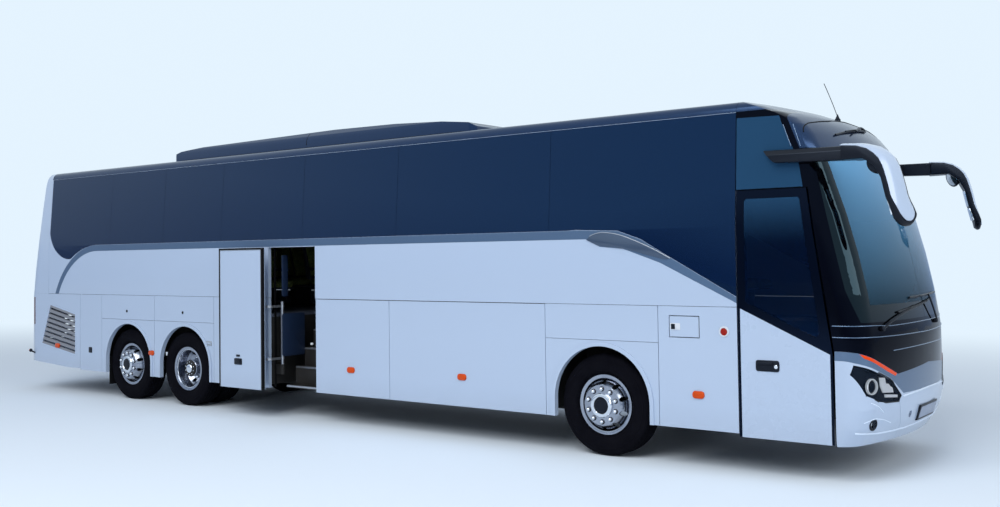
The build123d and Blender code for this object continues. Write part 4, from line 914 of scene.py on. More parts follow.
# %% Fog lamps
fog_rings, fog_eyes = [], []
for side in (RIGHT, LEFT):
    base = on_front(side * 1.082, 0.531, -0.012)
    looking = Vector((0.95, 0.26 * side, -0.16)).normalized()
    bezel = [(0.036, 0), (0.056, 0), (0.056, 0.012), (0.050, 0.017), (0.043, 0.014), (0.036, 0.004)]
    fog_rings.append(turned("bezel", bezel, base, looking, 36))
    bulb = [(0, -0.02), (0.036, -0.02), (0.036, -0.004), (0.024, 0.003), (0, 0.005)]
    fog_eyes.append(turned("fog_eye", bulb, base, looking, 28))
dress("fog_lamp_bezels", fog_rings, arm_plastic)
dress("fog_lamp_eyes", fog_eyes, mirror_glass)
print("fog lamps look along", tuple(round(v, 2) for v in looking))

# %% [markdown]
# Three thin bright lines cross the black mask, and two of them run on round its corners to the doors. The bumper below
# has pressed ridges: one above its lower lip, one under the silver panel, one under each headlamp and one over each
# fog lamp. Each is a slim bead along the skin, painted paler than the body: a painted highlight on each ridge.

# %% Mask lines and bumper ridges
# Paler than the white body paint, so each ridge carries a painted highlight.
ridge_paint = Finish("ridge_paint", (0.66, 0.76, 0.90), 0.30, coat=0.3)
ridge_paint.worn(0.28, 0.06, 6.0, 4.0)


def over_to_left(points):
    """Points from the right to the middle, carried on to the left."""
    return points + [Vector((p.x, -p.y, p.z)) for p in reversed(points)]


def mask_line(high, places):
    """A thin line from the door's edge round the corner and over the front, and the same on the left."""
    points = [touch(FRONT, place(x, -FAR_ASIDE, high), (0, 1, 0), 0.001)[0] for x in (2.412, 2.440, 2.470)]
    for degrees in range(82, 14, -4):
        out = Vector((math.cos(math.radians(degrees)), -math.sin(math.radians(degrees)), 0))
        points.append(touch(FRONT, place(2.450, -1.0, high) + 3 * out, -out, 0.001)[0])
    return rod("line", over_to_left(points + along_front(places, 0.05, 0.001)), 0.0045, bends=False)


mask_lines = [
    mask_line(1.402, [(-1.040, 1.400), (-0.80, 1.388), (-0.35, 1.393), (-0.02, 1.396)]),
    mask_line(1.302, [(-1.040, 1.300), (-0.70, 1.298), (-0.35, 1.298), (-0.02, 1.296)]),
    front_rod("line", mirrored([(-0.80, 1.166), (-0.55, 1.172), (-0.3, 1.176), (0.0, 1.178)]), 0.0045),
]
dress("mask_lines", mask_lines, silver_paint)
LOWER_RIDGE = [(-1.22, 0.462), (-0.961, 0.440), (-0.589, 0.430), (-0.30, 0.438), (0.0, 0.446)]
UPPER_RIDGE = [(-0.66, 0.745), (-0.45, 0.755), (-0.22, 0.765), (0.0, 0.768)]
UNDER_LAMP = [(1.153, 0.730), (1.060, 0.690), (0.979, 0.632)]
OVER_FOG_LAMP = [(1.186, 0.553), (1.130, 0.577), (1.082, 0.586), (0.950, 0.566), (0.815, 0.522)]
ridges = [front_rod("ridge", mirrored(line), 0.009) for line in (LOWER_RIDGE, UPPER_RIDGE)]
for side in (RIGHT, LEFT):
    for line, radius in ((UNDER_LAMP, 0.006), (OVER_FOG_LAMP, 0.005)):
        ridges.append(front_rod("ridge", [(side * left, high) for left, high in line], radius))
dress("bumper_ridges", ridges, ridge_paint)
print("mask lines and ridges lie on the skin")

# %% [markdown]
# The pane above the windscreen sits in a rubber edge, and two bright lines run up each corner pillar. Both are thin
# enough to be rods. The edge follows points found on the skin, and the lines stand just off the pillar, which leans.

# %% Lines on the dome and the corner pillars
DOME_EDGE = [(-1.190, 3.150), (-1.169, 3.189), (-1.120, 3.222), (-1.041, 3.246), (-0.780, 3.283), (-0.40, 3.322)]
DOME_EDGE += [(0.0, 3.350)]
finish_as(front_rod("dome_pane_edge", mirrored(DOME_EDGE), 0.006), seal_rubber)
pillar_lines = []
PILLAR_HEAD, HEAD_OUT, LEAN = 3.232, 1.2125, 0.068  # the corner pillar's top and how far out it stands lower down
for ends in (((2.054, 3.027), (1.977, 3.232)), ((2.144, 3.020), (2.072, 3.228))):
    for side in (RIGHT, LEFT):
        points = [place(ahead, side * (HEAD_OUT + (PILLAR_HEAD - high) * LEAN), high) for ahead, high in ends]
        pillar_lines.append(rod("line", points, 0.004))
dress("pillar_lines", pillar_lines, silver_paint)
print("dome pane and pillar lines lie on the skin")

# %% [markdown]
# The number plate is left blank. Its holder leans back with the bumper: the outline takes its depth at each height
# from the bumper's face at the top and the bottom of the plate.

# %% Blank plate
PLATE_LOW, PLATE_HIGH = 0.474, 0.620
plate_foot, plate_head = on_front(0.0, PLATE_LOW).x, on_front(0.0, PLATE_HIGH).x


def on_plate(points, lift):
    """(left, high) places on the plate's leaning plane, so far in front of the bumper."""
    lean = (plate_head - plate_foot) / (PLATE_HIGH - PLATE_LOW)
    return [Vector((plate_foot + (high - PLATE_LOW) * lean + lift, left, high)) for left, high in points]


holder_outline = rounded((-0.272, PLATE_LOW), (0.272, PLATE_HIGH), 0.012)
holder = slab("plate_holder", on_plate(holder_outline, -0.020), (0.032, 0, 0), 0.003)
finish_as(holder, arm_plastic)
plate_outline = rounded((-0.250, 0.494), (0.250, 0.600), 0.008)
plate = slab("blank_plate", on_plate(plate_outline, 0.010), (0.005, 0, 0), 0.001)
finish_as(plate, plate_grey)
print("blank plate leans", round(plate_head - plate_foot, 3), "m over its height")

# %% [markdown]
# Each wiper has a spindle cap on the mask, an arm that tapers to the blade's bridge and a long rubber blade that
# lies on the glass. The third one, high in the middle, sweeps the dome's pane.


# %% Wipers
def wiper(name, spindle, elbow, blade_from, blade_to, bow=0.0):
    """A wiper from its spindle's place to its blade's two ends, all as (left, high) places on the front."""
    foot, skin = touch(FRONT, (FAR_AHEAD, *spindle), (-1, 0, 0))
    cap = turned("cap", [(0, -0.01), (0.022, -0.01), (0.022, 0.022), (0.015, 0.032), (0, 0.034)], foot, skin, 20)
    middle = [(a + b) / 2 for a, b in zip(blade_from, blade_to)]
    arm_points = [on_front(*spindle, 0.026), on_front(*elbow, 0.046), on_front(*middle, 0.040)]
    arm = rod("arm", arm_points, 0.009)
    line = []
    for i in range(9):
        share = i / 8
        left, high = [a + (b - a) * share for a, b in zip(blade_from, blade_to)]
        line.append((left, high + bow * share * (1 - share)))
    blade = rod("blade", [on_front(*spot, 0.012) for spot in line], 0.010)
    bridge = rod("bridge", [on_front(*spot, 0.028) for spot in line[2:7]], 0.006)
    return finish_as(joined(name, cap, arm, blade, bridge), arm_plastic)


wiper("wiper_right", (-0.96, 1.368), (-0.70, 1.490), (-0.66, 1.500), (0.31, 1.592))
wiper("wiper_left", (0.36, 1.372), (0.20, 1.520), (-0.37, 1.622), (0.60, 1.640))
wiper("wiper_top", (0.06, 3.250), (-0.06, 3.262), (-0.78, 3.140), (0.10, 3.240), 0.08)
print("three wipers")

# %% [markdown]
# The mirrors hang forward of the roof like ears. A flat arm with a sharp tail runs forward from the corner pillar and
# bends down into a housing that is thin from front to back, a quarter of a metre wide and turned a little outwards.
# Arm and housing are slabs pushed along a slanting line, which gives that turn. The bulging white cover on the front
# of the housing is a grid whose points are laid along the same contour.


# %% Mirror arms and housings
def side_view(points, left):
    """(ahead, high) points set up at a distance to the left."""
    return [place(ahead, left, high) for ahead, high in points]


TURNED_OUT = 0.080  # metres that the housing's inner edge lies ahead of its outer one
HOUSING_INNER, HOUSING_WIDE = 1.150, 0.250
HOUSING_MIDDLE = HOUSING_INNER + HOUSING_WIDE / 2
COVER_MIDDLE, COVER_HALF = 1.284, 0.113
contour = [(2.600, 2.990), (2.740, 2.978), (2.830, 2.948), (2.888, 2.905), (2.932, 2.857), (2.966, 2.785)]
contour += [(2.990, 2.701), (3.010, 2.620), (3.028, 2.534), (3.050, 2.460), (3.074, 2.384), (3.092, 2.310)]
back_line = [(2.785, 2.859), (2.878, 2.792), (2.936, 2.686), (2.973, 2.514), (3.000, 2.420), (3.020, 2.335)]
housing_outline = [(2.600, 2.856)] + contour + [(3.090, 2.275), (3.060, 2.260), (3.030, 2.285)] + back_line[::-1]
arm_outline = [(1.800, 2.996), (2.150, 2.992), (2.420, 2.990), (2.640, 2.988), (2.640, 2.857), (2.300, 2.867)]
arm_outline += [(1.915, 2.878)]


def turned_out(points, side, shift=0.0):
    """A side view on the housing's inner plane, moved ahead as far as the housing's turn asks."""
    ahead_by = TURNED_OUT * (0.5 - shift / HOUSING_WIDE)
    return side_view([(ahead + ahead_by, high) for ahead, high in points], side * (HOUSING_INNER + shift))


def rounded_foot(high, across):
    """The height of a point of the housing once its foot is rounded off towards both edges."""
    low_share = min(1.0, max(0.0, (2.52 - high) / 0.24))
    return high + 0.085 * abs(across) ** 2.6 * low_share


def cut(piece, normal, places):
    """Cuts a piece across at a number of places, without taking anything away."""
    edit(piece)
    for spot in places:
        bpy.ops.mesh.select_all(action="SELECT")
        bpy.ops.mesh.bisect(plane_co=tuple(spot), plane_no=tuple(normal))
    leave()
    return piece


arms, housings = [], []
for side in (RIGHT, LEFT):
    arm = slab("arm", side_view(arm_outline, side * 1.205), (0, side * 0.112, 0))
    cut(arm, (0, 0, 1), [(0, 0, 2.948)])
    for vertex in arm.data.vertices:
        if vertex.co.z > 2.97 and abs(vertex.co.y) > 1.30:
            vertex.co.y -= side * 0.045
    modify(arm, "BEVEL", width=0.008, segments=3, limit_method="ANGLE", angle_limit=math.radians(25))
    arms.append(smooth(arm))
    housing = slab("housing", turned_out(housing_outline, side), (-TURNED_OUT, side * HOUSING_WIDE, 0), 0.016, 4)
    cut(housing, (0, 1, 0), [(0, side * (HOUSING_MIDDLE + HOUSING_WIDE / 2 * i / 5), 0) for i in range(-4, 5)])
    for vertex in housing.data.vertices:
        vertex.co.z = rounded_foot(vertex.co.z, (abs(vertex.co.y) - HOUSING_MIDDLE) / (HOUSING_WIDE / 2))
    housings.append(smooth(housing))
arm_pair = dress("mirror_arm_pair", arms, arm_plastic)
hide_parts("mirror_arms")
housing_pair = dress("mirror_housings", housings, arm_plastic)
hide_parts("mirror_heads")
print("mirror arms are", round(arm_outline[3][0] - arm_outline[0][0], 2), "m long")


# %% [markdown]
# The cover is a thin white shell with a soft bulge. A grid suits it better than a subdivided block, because each row of
# points can be placed along the contour, and the bulge can die out at the edges by a formula.


# %% Mirror covers
def panel(name, rows, thickness):
    """A grid primitive with its points moved to the given rows, and a thickness inwards."""
    bpy.ops.object.select_all(action="DESELECT")
    bpy.ops.mesh.primitive_grid_add(x_subdivisions=len(rows[0]) - 1, y_subdivisions=len(rows) - 1, location=(0, 0, 0))
    piece = named(name)
    for vertex, point in zip(piece.data.vertices, [point for row in rows for point in row]):
        vertex.co = point
    modify(piece, "SOLIDIFY", thickness=thickness, offset=0)
    return smooth(closed_up(piece), 60)


def cover_rows(side):
    """The white cover's points: along the contour, and across it with a bulge that dies out at the edges."""
    rows = []
    last = len(contour) - 1
    for i, (ahead, high) in enumerate(contour):
        before, after = contour[max(0, i - 1)], contour[min(last, i + 1)]
        along = Vector((after[0] - before[0], after[1] - before[1])).normalized()
        out_x, out_z = -along.y, along.x
        share = i / last
        swell = 0.030 * math.sin(math.pi * min(1.0, 0.12 + 0.78 * share)) ** 0.6
        narrow = 0.012 * max(0.0, (share - 0.80) / 0.20) ** 2
        row = []
        for j in range(13):
            across = j / 6 - 1
            lift = -0.006 + swell * (1 - abs(across) ** 4)
            left = COVER_MIDDLE + across * (COVER_HALF - narrow)
            skew = -TURNED_OUT * (left - HOUSING_MIDDLE) / HOUSING_WIDE
            row.append(place(ahead + skew + out_x * lift, side * left, rounded_foot(high, across) + out_z * lift))
        rows.append(row)
    return rows


covers_white = [panel("cover", cover_rows(side), 0.004) for side in (RIGHT, LEFT)]
dress("mirror_covers", covers_white, body_paint)
print("covers bulge from", len(contour), "stations of the contour")

# %% [markdown]
# Each housing holds two flat glasses behind the cover, and a round bend mirror under the arm looks down at the
# coach's corner. The glasses are slabs on the housing's slanting plane. The bend mirror is turned round the line along
# which it looks, with a bulging eye in a dark shell.

# %% Mirror panes and bend mirrors
panes, shells, small_panes = [], [], []
for side in (RIGHT, LEFT):
    for low, high in (((3.012, 2.365), (2.980, 2.490)), ((2.974, 2.512), (2.938, 2.672))):
        lip = [(low[0] - 0.004, low[1]), (high[0] - 0.004, high[1])]
        lip += [(high[0] + 0.012, high[1]), (low[0] + 0.012, low[1])]
        start = turned_out(lip, side, 0.022)
        panes.append(slab("pane", start, (-TURNED_OUT * 0.206 / HOUSING_WIDE, side * 0.206, 0), 0.002))
    looking = Vector((-0.60, -0.74 * side, -0.28)).normalized()
    hub = place(2.835, side * 1.255, 2.815)
    shell = [(0, -0.060), (0.045, -0.054), (0.078, -0.032), (0.092, -0.004), (0.092, 0.008), (0.084, 0.013), (0, 0.010)]
    shells.append(turned("shell", shell, hub, looking, 36))
    bulge = [(0, 0.006), (0.080, 0.006), (0.080, 0.012), (0.045, 0.019), (0, 0.022)]
    small_panes.append(turned("eye", bulge, hub, looking, 36))
dress("mirror_panes", [*panes, *small_panes], mirror_glass)
dress("bend_mirror_shells", shells, arm_plastic)
print("two panes and a bend mirror on each side")

# %% [markdown]
# The front door is painted white below a slanting line and black above it, with black rubber down both edges. That is
# paint on one smooth leaf, so the material draws it from Object coordinates: the slant is a straight line in the
# side view, and the rubber is everything within a few centimetres of the two edges.

# %% Two-tone front door
door_finish = Finish("front_door_paint", WHITE, 0.24, coat=0.6)
door_x, _, door_z = door_finish.where()
LINE_AHEAD, LINE_HIGH, SLANT = 1.517, 1.554, 0.466
REAR_RUBBER, FRONT_RUBBER = 1.546, 2.388
ahead = door_x - axle_x
over_line = (door_z - (LINE_HIGH - (ahead - LINE_AHEAD) * SLANT)).above(0.0)
dark = (over_line + ahead.below(REAR_RUBBER) + ahead.above(FRONT_RUBBER)).clipped()
door_finish.put("Base Color", door_finish.mix(dark, filmed(door_finish, WHITE, FILM), (0.006, 0.010, 0.022)))
door_finish.put("Metallic", dark)
door_finish.put("Coat Weight", 0.6 - 0.6 * dark)
door_finish.put("Roughness", 0.25 + 0.05 * door_finish.noise(6.0, 4.0) - 0.16 * over_line)
door_finish.grain(160.0, 2.0, 0.004, 0.001)
for node_name in ("front_door_leaf", "driver_side_panel"):
    bpy.data.objects[node_name + "_skin"].data.materials[0] = door_finish.material
print("front door and the driver's side panel are two-tone")

# %% [markdown]
# Door handles sit in moulded dark boxes. Each is a rounded slab with a recess for the fingers behind a grip bar, and
# a round lock beside it.

# %% Side trim helpers
SIDE_FACE = 1.275  # how far the coach's side lies from its middle plane


def on_side(name, low, high, inner, outer, radius, bevel=0.002, side=RIGHT):
    """A rounded slab on the coach's side, from its low and high corner as (ahead, high), between two depths."""
    outline = side_view(rounded(low, high, radius), side * inner)
    return slab(name, outline, (0, side * (outer - inner), 0), bevel)


def disc_on_side(name, ahead, high, rows, side=RIGHT, steps=28):
    """A turned piece on the coach's side."""
    return turned(name, rows, place(ahead, side * SIDE_FACE, high), (0, side, 0), steps)


def both_sides(pattern, finish, body="coach"):
    """A piece on the right and its mirror image on the left. The body's name may hold a {} for the hand."""
    other = twin(pattern, f"{pattern.name}_left", ACROSS)
    pattern.name = pattern.data.name = f"{pattern.name}_right"
    finish_as(pattern, finish, body.format("right"))
    finish_as(other, finish, body.format("left"))
    return pattern, other


print("side trim helpers are ready")

# %% [markdown]
# The front door's handle is built from those helpers: box, recess and grip become one piece, and the lock stays its own
# piece because it is bright metal.

# %% Front door handle
handle_box = on_side("box", (1.692, 0.968), (1.919, 1.071), 1.270, 1.283, 0.022, 0.004)
pocket = on_side("pocket", (1.708, 0.985), (1.850, 1.040), 1.2825, 1.2845, 0.012, 0.0005)
grip = on_side("grip", (1.704, 1.030), (1.860, 1.054), 1.280, 1.296, 0.010, 0.005)
lock = disc_on_side("lock", 1.888, 1.015, [(0, 0), (0.018, 0), (0.018, 0.012), (0.014, 0.015), (0, 0.015)])
dress("front_door_handle", [handle_box, pocket, grip], arm_plastic, "front_door")
finish_as(lock, chrome, "front_door")
lock.name = "front_door_lock"
print("front door handle")

# %% [markdown]
# The mid door stands open, so its edges show: black rubber round three sides of the leaf, and inside it a thin satin
# metal line that is a painted highlight on the leaf's edge. The doorway has the same rubber, set back behind the closed
# leaf. Each frame is an outline with its opening, pushed to its thickness.


# %% Mid door rubber and handle
def hoop(name, low, high, width, inner, outer, side=RIGHT, bevel=0.002):
    """A frame without its lower bar, as (ahead, high) corners on the coach's side."""
    (x0, z0), (x1, z1) = low, high
    outline = [(x0, z0), (x0, z1), (x1, z1), (x1, z0), (x1 - width, z0)]
    outline += [(x1 - width, z1 - width), (x0 + width, z1 - width), (x0 + width, z0)]
    return slab(name, side_view(outline, side * inner), (0, side * (outer - inner), 0), bevel)


leaf_low, leaf_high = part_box("mid_door_leaf")
leaf_from, leaf_to = leaf_low.x - axle_x, leaf_high.x - axle_x
leaf_rubber_low, leaf_rubber_high = (leaf_from - 0.004, leaf_low.z), (leaf_to + 0.004, leaf_high.z + 0.004)
leaf_rubber = hoop("mid_door_rubber", leaf_rubber_low, leaf_rubber_high, 0.024, 1.478, 1.518)
finish_as(leaf_rubber, seal_rubber, "mid_door")
# A thin satin metal line inside the rubber: a painted highlight on the leaf's edge.
highlight_low, highlight_high = (leaf_from + 0.022, leaf_low.z + 0.002), (leaf_to - 0.022, leaf_high.z - 0.022)
bright = hoop("mid_door_bright_line", highlight_low, highlight_high, 0.006, 1.512, 1.5185, bevel=0.001)
finish_as(bright, satin_metal, "mid_door")
mid_box = on_side("mid_box", (-5.446, 0.688), (-5.296, 0.770), 1.512, 1.524, 0.014, 0.003)
mid_grip = on_side("mid_grip", (-5.430, 0.735), (-5.312, 0.757), 1.522, 1.534, 0.009, 0.004)
mid_lock = on_side("mid_lock", (-5.410, 0.790), (-5.338, 0.819), 1.512, 1.522, 0.010, 0.003)
dress("mid_door_handle", [mid_box, mid_grip, mid_lock], arm_plastic, "mid_door")
doorway = hoop("mid_doorway_rubber", (-5.060, 0.384), (-4.164, 2.218), 0.016, 1.148, 1.176)
finish_as(doorway, seal_rubber)
print("mid door leaf from", round(leaf_from, 3), "to", round(leaf_to, 3))

# %% [markdown]
# Inside the doorway the steps have light nosings, the rear wall carries dark blue panels, and a small lamp shines on
# the treads.

# %% Mid stairwell
TREADS, FIRST_EDGE, STEP_DEEP = (0.410, 0.6425, 0.875, 1.1075), -1.1147, 0.1612
STAIR_REAR, STAIR_WIDE = -4.885, 0.68
nosing_section = [(0.030, 0.002), (-0.004, 0.002), (-0.004, -0.020), (-0.001, -0.020), (-0.001, 0), (0.030, 0)]
nosings = []
for i, tread in enumerate(TREADS):
    edge = FIRST_EDGE + i * STEP_DEEP
    strip = [place(STAIR_REAR, edge + left, tread + high) for left, high in nosing_section]
    nosings.append(slab("nosing", strip, (STAIR_WIDE, 0, 0)))
dress("mid_step_nosings", nosings, satin_metal)


def on_rear_wall(name, low, high, radius, ahead=-4.892, thick=0.012, bevel=0.004):
    """A rounded slab on the stairwell's rear wall, from its low and high corner as (left, high)."""
    outline = [place(ahead, left, high_up) for left, high_up in rounded(low, high, radius)]
    return slab(name, outline, (thick, 0, 0), bevel)


wall_panels = [
    on_rear_wall("low_panel", (-1.19, 0.79), (-0.80, 1.345), 0.03),
    on_rear_wall("slim_panel", (-1.19, 1.57), (-1.09, 2.11), 0.02),
]
dress("stairwell_panels", wall_panels, panel_blue)
step_lamp = on_rear_wall("step_lamp", (-0.70, 0.90), (-0.655, 0.93), 0.01, -4.884, 0.008, 0.002)
finish_as(step_lamp, light_guide)
print("mid stairwell has", len(nosings), "nosings, panels and a lamp")

# %% [markdown]
# Small things along the sides: amber marker lamps, latches of the flaps, the fuel flap's catch and a round reflector.
# All stand on the panels or in them. The ones that a coach has on both sides are mirrored across.

# %% Side lamps, latches and the fuel flap's line
MARKERS = {  # the marker lamps' places by the body that they ride on
    ("side_markers", "coach"): ((1.106, 0.709), (-7.605, 0.722), (-10.10, 0.728)),
    ("front_flap_marker", "luggage_door_front_{}"): ((-1.802, 0.709),),
    ("rear_flap_marker", "luggage_door_rear_{}"): ((-3.546, 0.693),),
}
for (name, body), spots in MARKERS.items():
    markers = []
    for x, z in spots:
        low, high = (x - 0.062, z - 0.036), (x + 0.062, z + 0.036)
        markers.append(on_side("marker", low, high, 1.270, 1.290, 0.030, 0.006))
    both_sides(joined(name, *markers), marker_lens, body)
lock_rows = [(0, 0), (0.020, 0), (0.020, 0.003), (0.014, 0.005), (0.006, 0.002), (0, 0.002)]
locks = [disc_on_side("lock", x, z, lock_rows) for x, z in ((-8.217, 1.314), (-6.873, 1.320))]
both_sides(joined("flap_locks", *locks), seal_rubber)
PLATES = [
    ("rear_latch", (-9.222, 0.655), (-9.132, 0.741), 1.270, 1.280, 0.016, 0.003, arm_plastic, "black_paint"),
    ("latch_plate", (-6.352, 0.876), (-6.226, 0.942), 1.272, 1.280, 0.016, 0.003, satin_metal, "polished_alloy"),
    ("latch_grip", (-6.338, 0.905), (-6.240, 0.922), 1.279, 1.287, 0.007, 0.003, body_paint, "body_paint"),
    ("fuel_plate", (0.815, 1.320), (0.924, 1.386), 1.272, 1.279, 0.006, 0.002, plate_white, "body_paint"),
    ("fuel_catch", (0.828, 1.328), (0.869, 1.379), 1.278, 1.284, 0.005, 0.002, arm_plastic, "black_paint"),
]
for name, *shape, finish, slot_name in PLATES:
    finish_as(on_side(name, *shape), finish, "fuel_door" if name.startswith("fuel") else "coach")
rim_rows = [(0.034, 0), (0.052, 0), (0.052, 0.006), (0.046, 0.011), (0.036, 0.010)]
reflector_rim = disc_on_side("reflector_rim", 1.382, 1.319, rim_rows, steps=40)
reflector_rows = [(0, 0), (0.037, 0), (0.037, 0.006), (0.025, 0.009), (0, 0.010)]
reflector = disc_on_side("round_reflector", 1.382, 1.319, reflector_rows, steps=40)
finish_as(reflector_rim, plate_white)
finish_as(reflector, reflector_red)
print(sum(len(spots) for spots in MARKERS.values()), "markers a side, latches and a reflector")

# %% [markdown]
# The silver fin at the front of the belt line holds a darker lens-shaped inset. Its outline follows the fin's, and it
# lies a few millimetres proud of it. A fine satin metal rod along its top edge is a painted highlight on that edge.

# %% Fin insets
fin_points = [(-0.127, 2.213), (-0.085, 2.250), (-0.040, 2.272), (0.066, 2.290), (0.246, 2.266), (0.407, 2.212)]
fin_points += [(0.607, 2.130), (0.720, 2.076), (0.837, 2.014), (0.790, 2.008), (0.746, 2.012), (0.534, 2.061)]
fin_points += [(0.346, 2.111), (0.214, 2.129), (0.018, 2.149)]
inset = slab("fin_inset", side_view(fin_points, RIGHT * 1.280), (0, RIGHT * 0.006, 0), 0.002)
both_sides(inset, inset_silver)
# A satin metal rod along the inset's top: a painted highlight on the fin's edge.
fin_highlight_line = [place(x, RIGHT * 1.2865, z) for x, z in fin_points[1:9]]
both_sides(rod("fin_edge", fin_highlight_line, 0.004), satin_metal)
print("fin insets on both sides")

# %% [markdown]
# Side grille: behind a white frame, nine slats are painted grey. The frame and its slats are one CAD node, so the
# material tells them apart: the slats are what lies inside the frame's four edges. The mud flaps behind the tag wheels
# are plain rubber slabs.

# %% Side grille slats
grille_finish = Finish("side_grille_paint", WHITE, 0.3, coat=0.4)
grille_x, _, grille_z = grille_finish.where()
FRAME_WIDE = 0.028
corners = [(-10.330, 1.400), (-9.580, 1.256), (-9.580, 0.584), (-10.600, 0.731)]
inside = 1.0
for (x0, z0), (x1, z1) in zip(corners, corners[1:] + corners[:1]):
    length = math.hypot(x1 - x0, z1 - z0)
    into = ((grille_x - (axle_x + x0)) * (z1 - z0) - (grille_z - z0) * (x1 - x0)) / length
    inside = into.above(FRAME_WIDE) * inside
grille_finish.put("Base Color", grille_finish.mix(inside, WHITE, (0.20, 0.21, 0.24)))
grille_finish.put("Roughness", 0.28 + 0.2 * inside + 0.06 * grille_finish.noise(20.0, 3.0))
grille_finish.grain(160.0, 2.0, 0.03, 0.001)
keep("side_grilles", grille_finish)

flap_outline = [(-0.165, 0), (-0.165, 0.42), (0.165, 0.42), (0.165, 0)]
mud_flap = slab("mud_flap", [place(-8.765, -1.045 + y, 0.19 + z) for y, z in flap_outline], (-0.010, 0, 0), 0.003)
both_sides(mud_flap, seal_rubber)
print("grille slats are grey, mud flaps hang behind the tag wheels")

# %% [markdown]
# Low at the rear corners a coach has small rubber stalks with a lamp that shows how wide it is. The stalk is a bent
# rod that starts inside the skin, and the head and its lens are turned round the line along which the lamp looks.

# %% Rear side lamps on their stalks
stalks, stalk_lenses = [], []
for side in (RIGHT, LEFT):
    root = touch(["rear_quarter_panels", "rear_bumper"], place(-10.78, side * FAR_ASIDE, 0.585), (0, -side, 0))[0]
    tip = root + Vector((-0.050, side * 0.052, 0.042))
    inside_skin, bend = root + Vector((0, -side * 0.01, 0)), root + Vector((-0.012, side * 0.022, 0.010))
    stalks.append(rod("stalk", [inside_skin, bend, tip], 0.013))
    looking = Vector((-0.75, side * 0.60, 0.28)).normalized()
    head = [(0, -0.026), (0.020, -0.024), (0.027, -0.012), (0.027, 0.008), (0.022, 0.012), (0, 0.012)]
    stalks.append(turned("head", head, tip, looking, 24))
    stalk_lenses.append(turned("lens", [(0, 0.010), (0.021, 0.010), (0.019, 0.017), (0, 0.020)], tip, looking, 24))
dress("rear_lamp_stalks", stalks, arm_plastic)
dress("rear_lamp_stalk_lenses", stalk_lenses, marker_lens)
print("stalk lamps stand out", round(abs(tip.y) - half_width, 3), "m")

# %% [markdown]
# On the roof, the air conditioner's hood has a joint across it, and a black rubber rod along its foot is painted
# shade for the shadow under the hood. Its joint is a thin dark rod that follows the hood, found by lines sent down on
# it and in from its sides.


# %% Roof details
def from_above(node_names, ahead, left, lift=0.0):
    """Where a line sent down first meets one of the nodes, lifted off its face."""
    return touch(node_names, place(ahead, left, FAR_UP), (0, 0, -1), lift)[0]


HOOD_JOINT, SENSOR = -4.714, 1.334
roof_front = ["front_dome", "roof_shell"]
joint_points = [
    touch(["air_conditioner"], place(HOOD_JOINT, -1.2, high), (0, 1, 0))[0] for high in (3.56, 3.61, 3.66)
]
joint_points += [from_above(["air_conditioner"], HOOD_JOINT, left) for left in (-0.85, -0.80, -0.6, -0.3, 0.0)]
joint_points += [Vector((p.x, -p.y, p.z)) for p in reversed(joint_points[:-1])]
finish_as(rod("hood_joint", joint_points, 0.005), seal_rubber)

# A black rod along the hood's foot on each side: painted shade where the hood shadows the roof.
painted_shadow_line = []
for ahead in (-7.62, -7.45, -6.5, -5.5, -4.5, -3.5, -2.5, -2.0, -1.86):
    left = 0.912 if -7.5 < ahead < -1.97 else 0.845
    painted_shadow_line.append(from_above(["roof_shell"], ahead, -left, 0.008))
both_sides(rod("hood_skirt", painted_shadow_line, 0.014), seal_rubber)

antenna_foot = from_above(roof_front, 2.064, 0)
foot_rows = [(0, -0.01), (0.030, -0.01), (0.030, 0.006), (0.020, 0.020), (0.009, 0.045), (0.006, 0.060), (0, 0.060)]
foot = turned("antenna_foot", foot_rows, antenna_foot, (0, 0, 1), 24)
whip_top = antenna_foot + Vector((-0.13, 0, 0.385))
whip_foot, whip_bend = antenna_foot + Vector((-0.005, 0, 0.05)), antenna_foot + Vector((-0.05, 0, 0.19))
whip = rod("whip", [whip_foot, whip_bend, whip_top], 0.0035)
dress("antenna", [foot, whip], arm_plastic)

box_low = from_above(roof_front, SENSOR, 0).z - 0.005
box_outline = [place(SENSOR + x, y, box_low) for x, y in rounded((-0.07, -0.06), (0.07, 0.06), 0.03)]
sensor = slab("sensor_box", box_outline, (0, 0, 0.052), 0.014, 4)
finish_as(sensor, arm_plastic)
print("antenna stands at", round(antenna_foot.z, 3), "and its tip at", round(whip_top.z, 3))

# %% [markdown]
# Fifty-two seats stand in pairs on the saloon floor, and the driver has one of their own. A seat is a moulded shell
# that carries pads of woven cloth over foam. Such a pad is a soft block blown up a little inside its cover, which is
# what a cloth simulation with inner pressure does: it crowns the middle and pulls the sides in between the corners.
# A cushion, a back pad and a head pad are simulated, their seams are pressed in afterwards, and every seat gets a copy.

# %% Seat cloth
cloth_finish = Finish("seat_cloth", (0.13, 0.16, 0.05), 0.9, specular=0.2)
weave_x, weave_y, weave_z = cloth_finish.where()
THREADS = 2100.0  # radians a metre, which is a thread every 3 mm
threads = (weave_y * THREADS).maths("SINE") * ((weave_x + weave_z) * THREADS).maths("SINE")
faded = cloth_finish.noise(9.0, 5.0)
tufts = cloth_finish.noise(55.0, 2.0).above(0.56)
ground = cloth_finish.mix(faded, (0.085, 0.115, 0.035), (0.17, 0.21, 0.070))
cloth_finish.put("Base Color", cloth_finish.mix(tufts * 0.6, ground, (0.30, 0.31, 0.10)))
cloth_finish.bump(threads + 2.0 * faded, 0.35, 0.0012)
shell_plastic = Finish("seat_shell_plastic", (0.030, 0.034, 0.045), 0.5)
shell_plastic.worn(0.42, 0.2, 14.0, 4.0)
shell_plastic.grain(600.0, 2.0, 0.2, 0.0005)
print("seat cloth is woven about every 3 mm")

# %% [markdown]
# Cloth needs an even mesh, so a block is remeshed before it is simulated. The simulation runs for a few frames, and
# what each point may move is limited, which keeps the pad inside its shell.

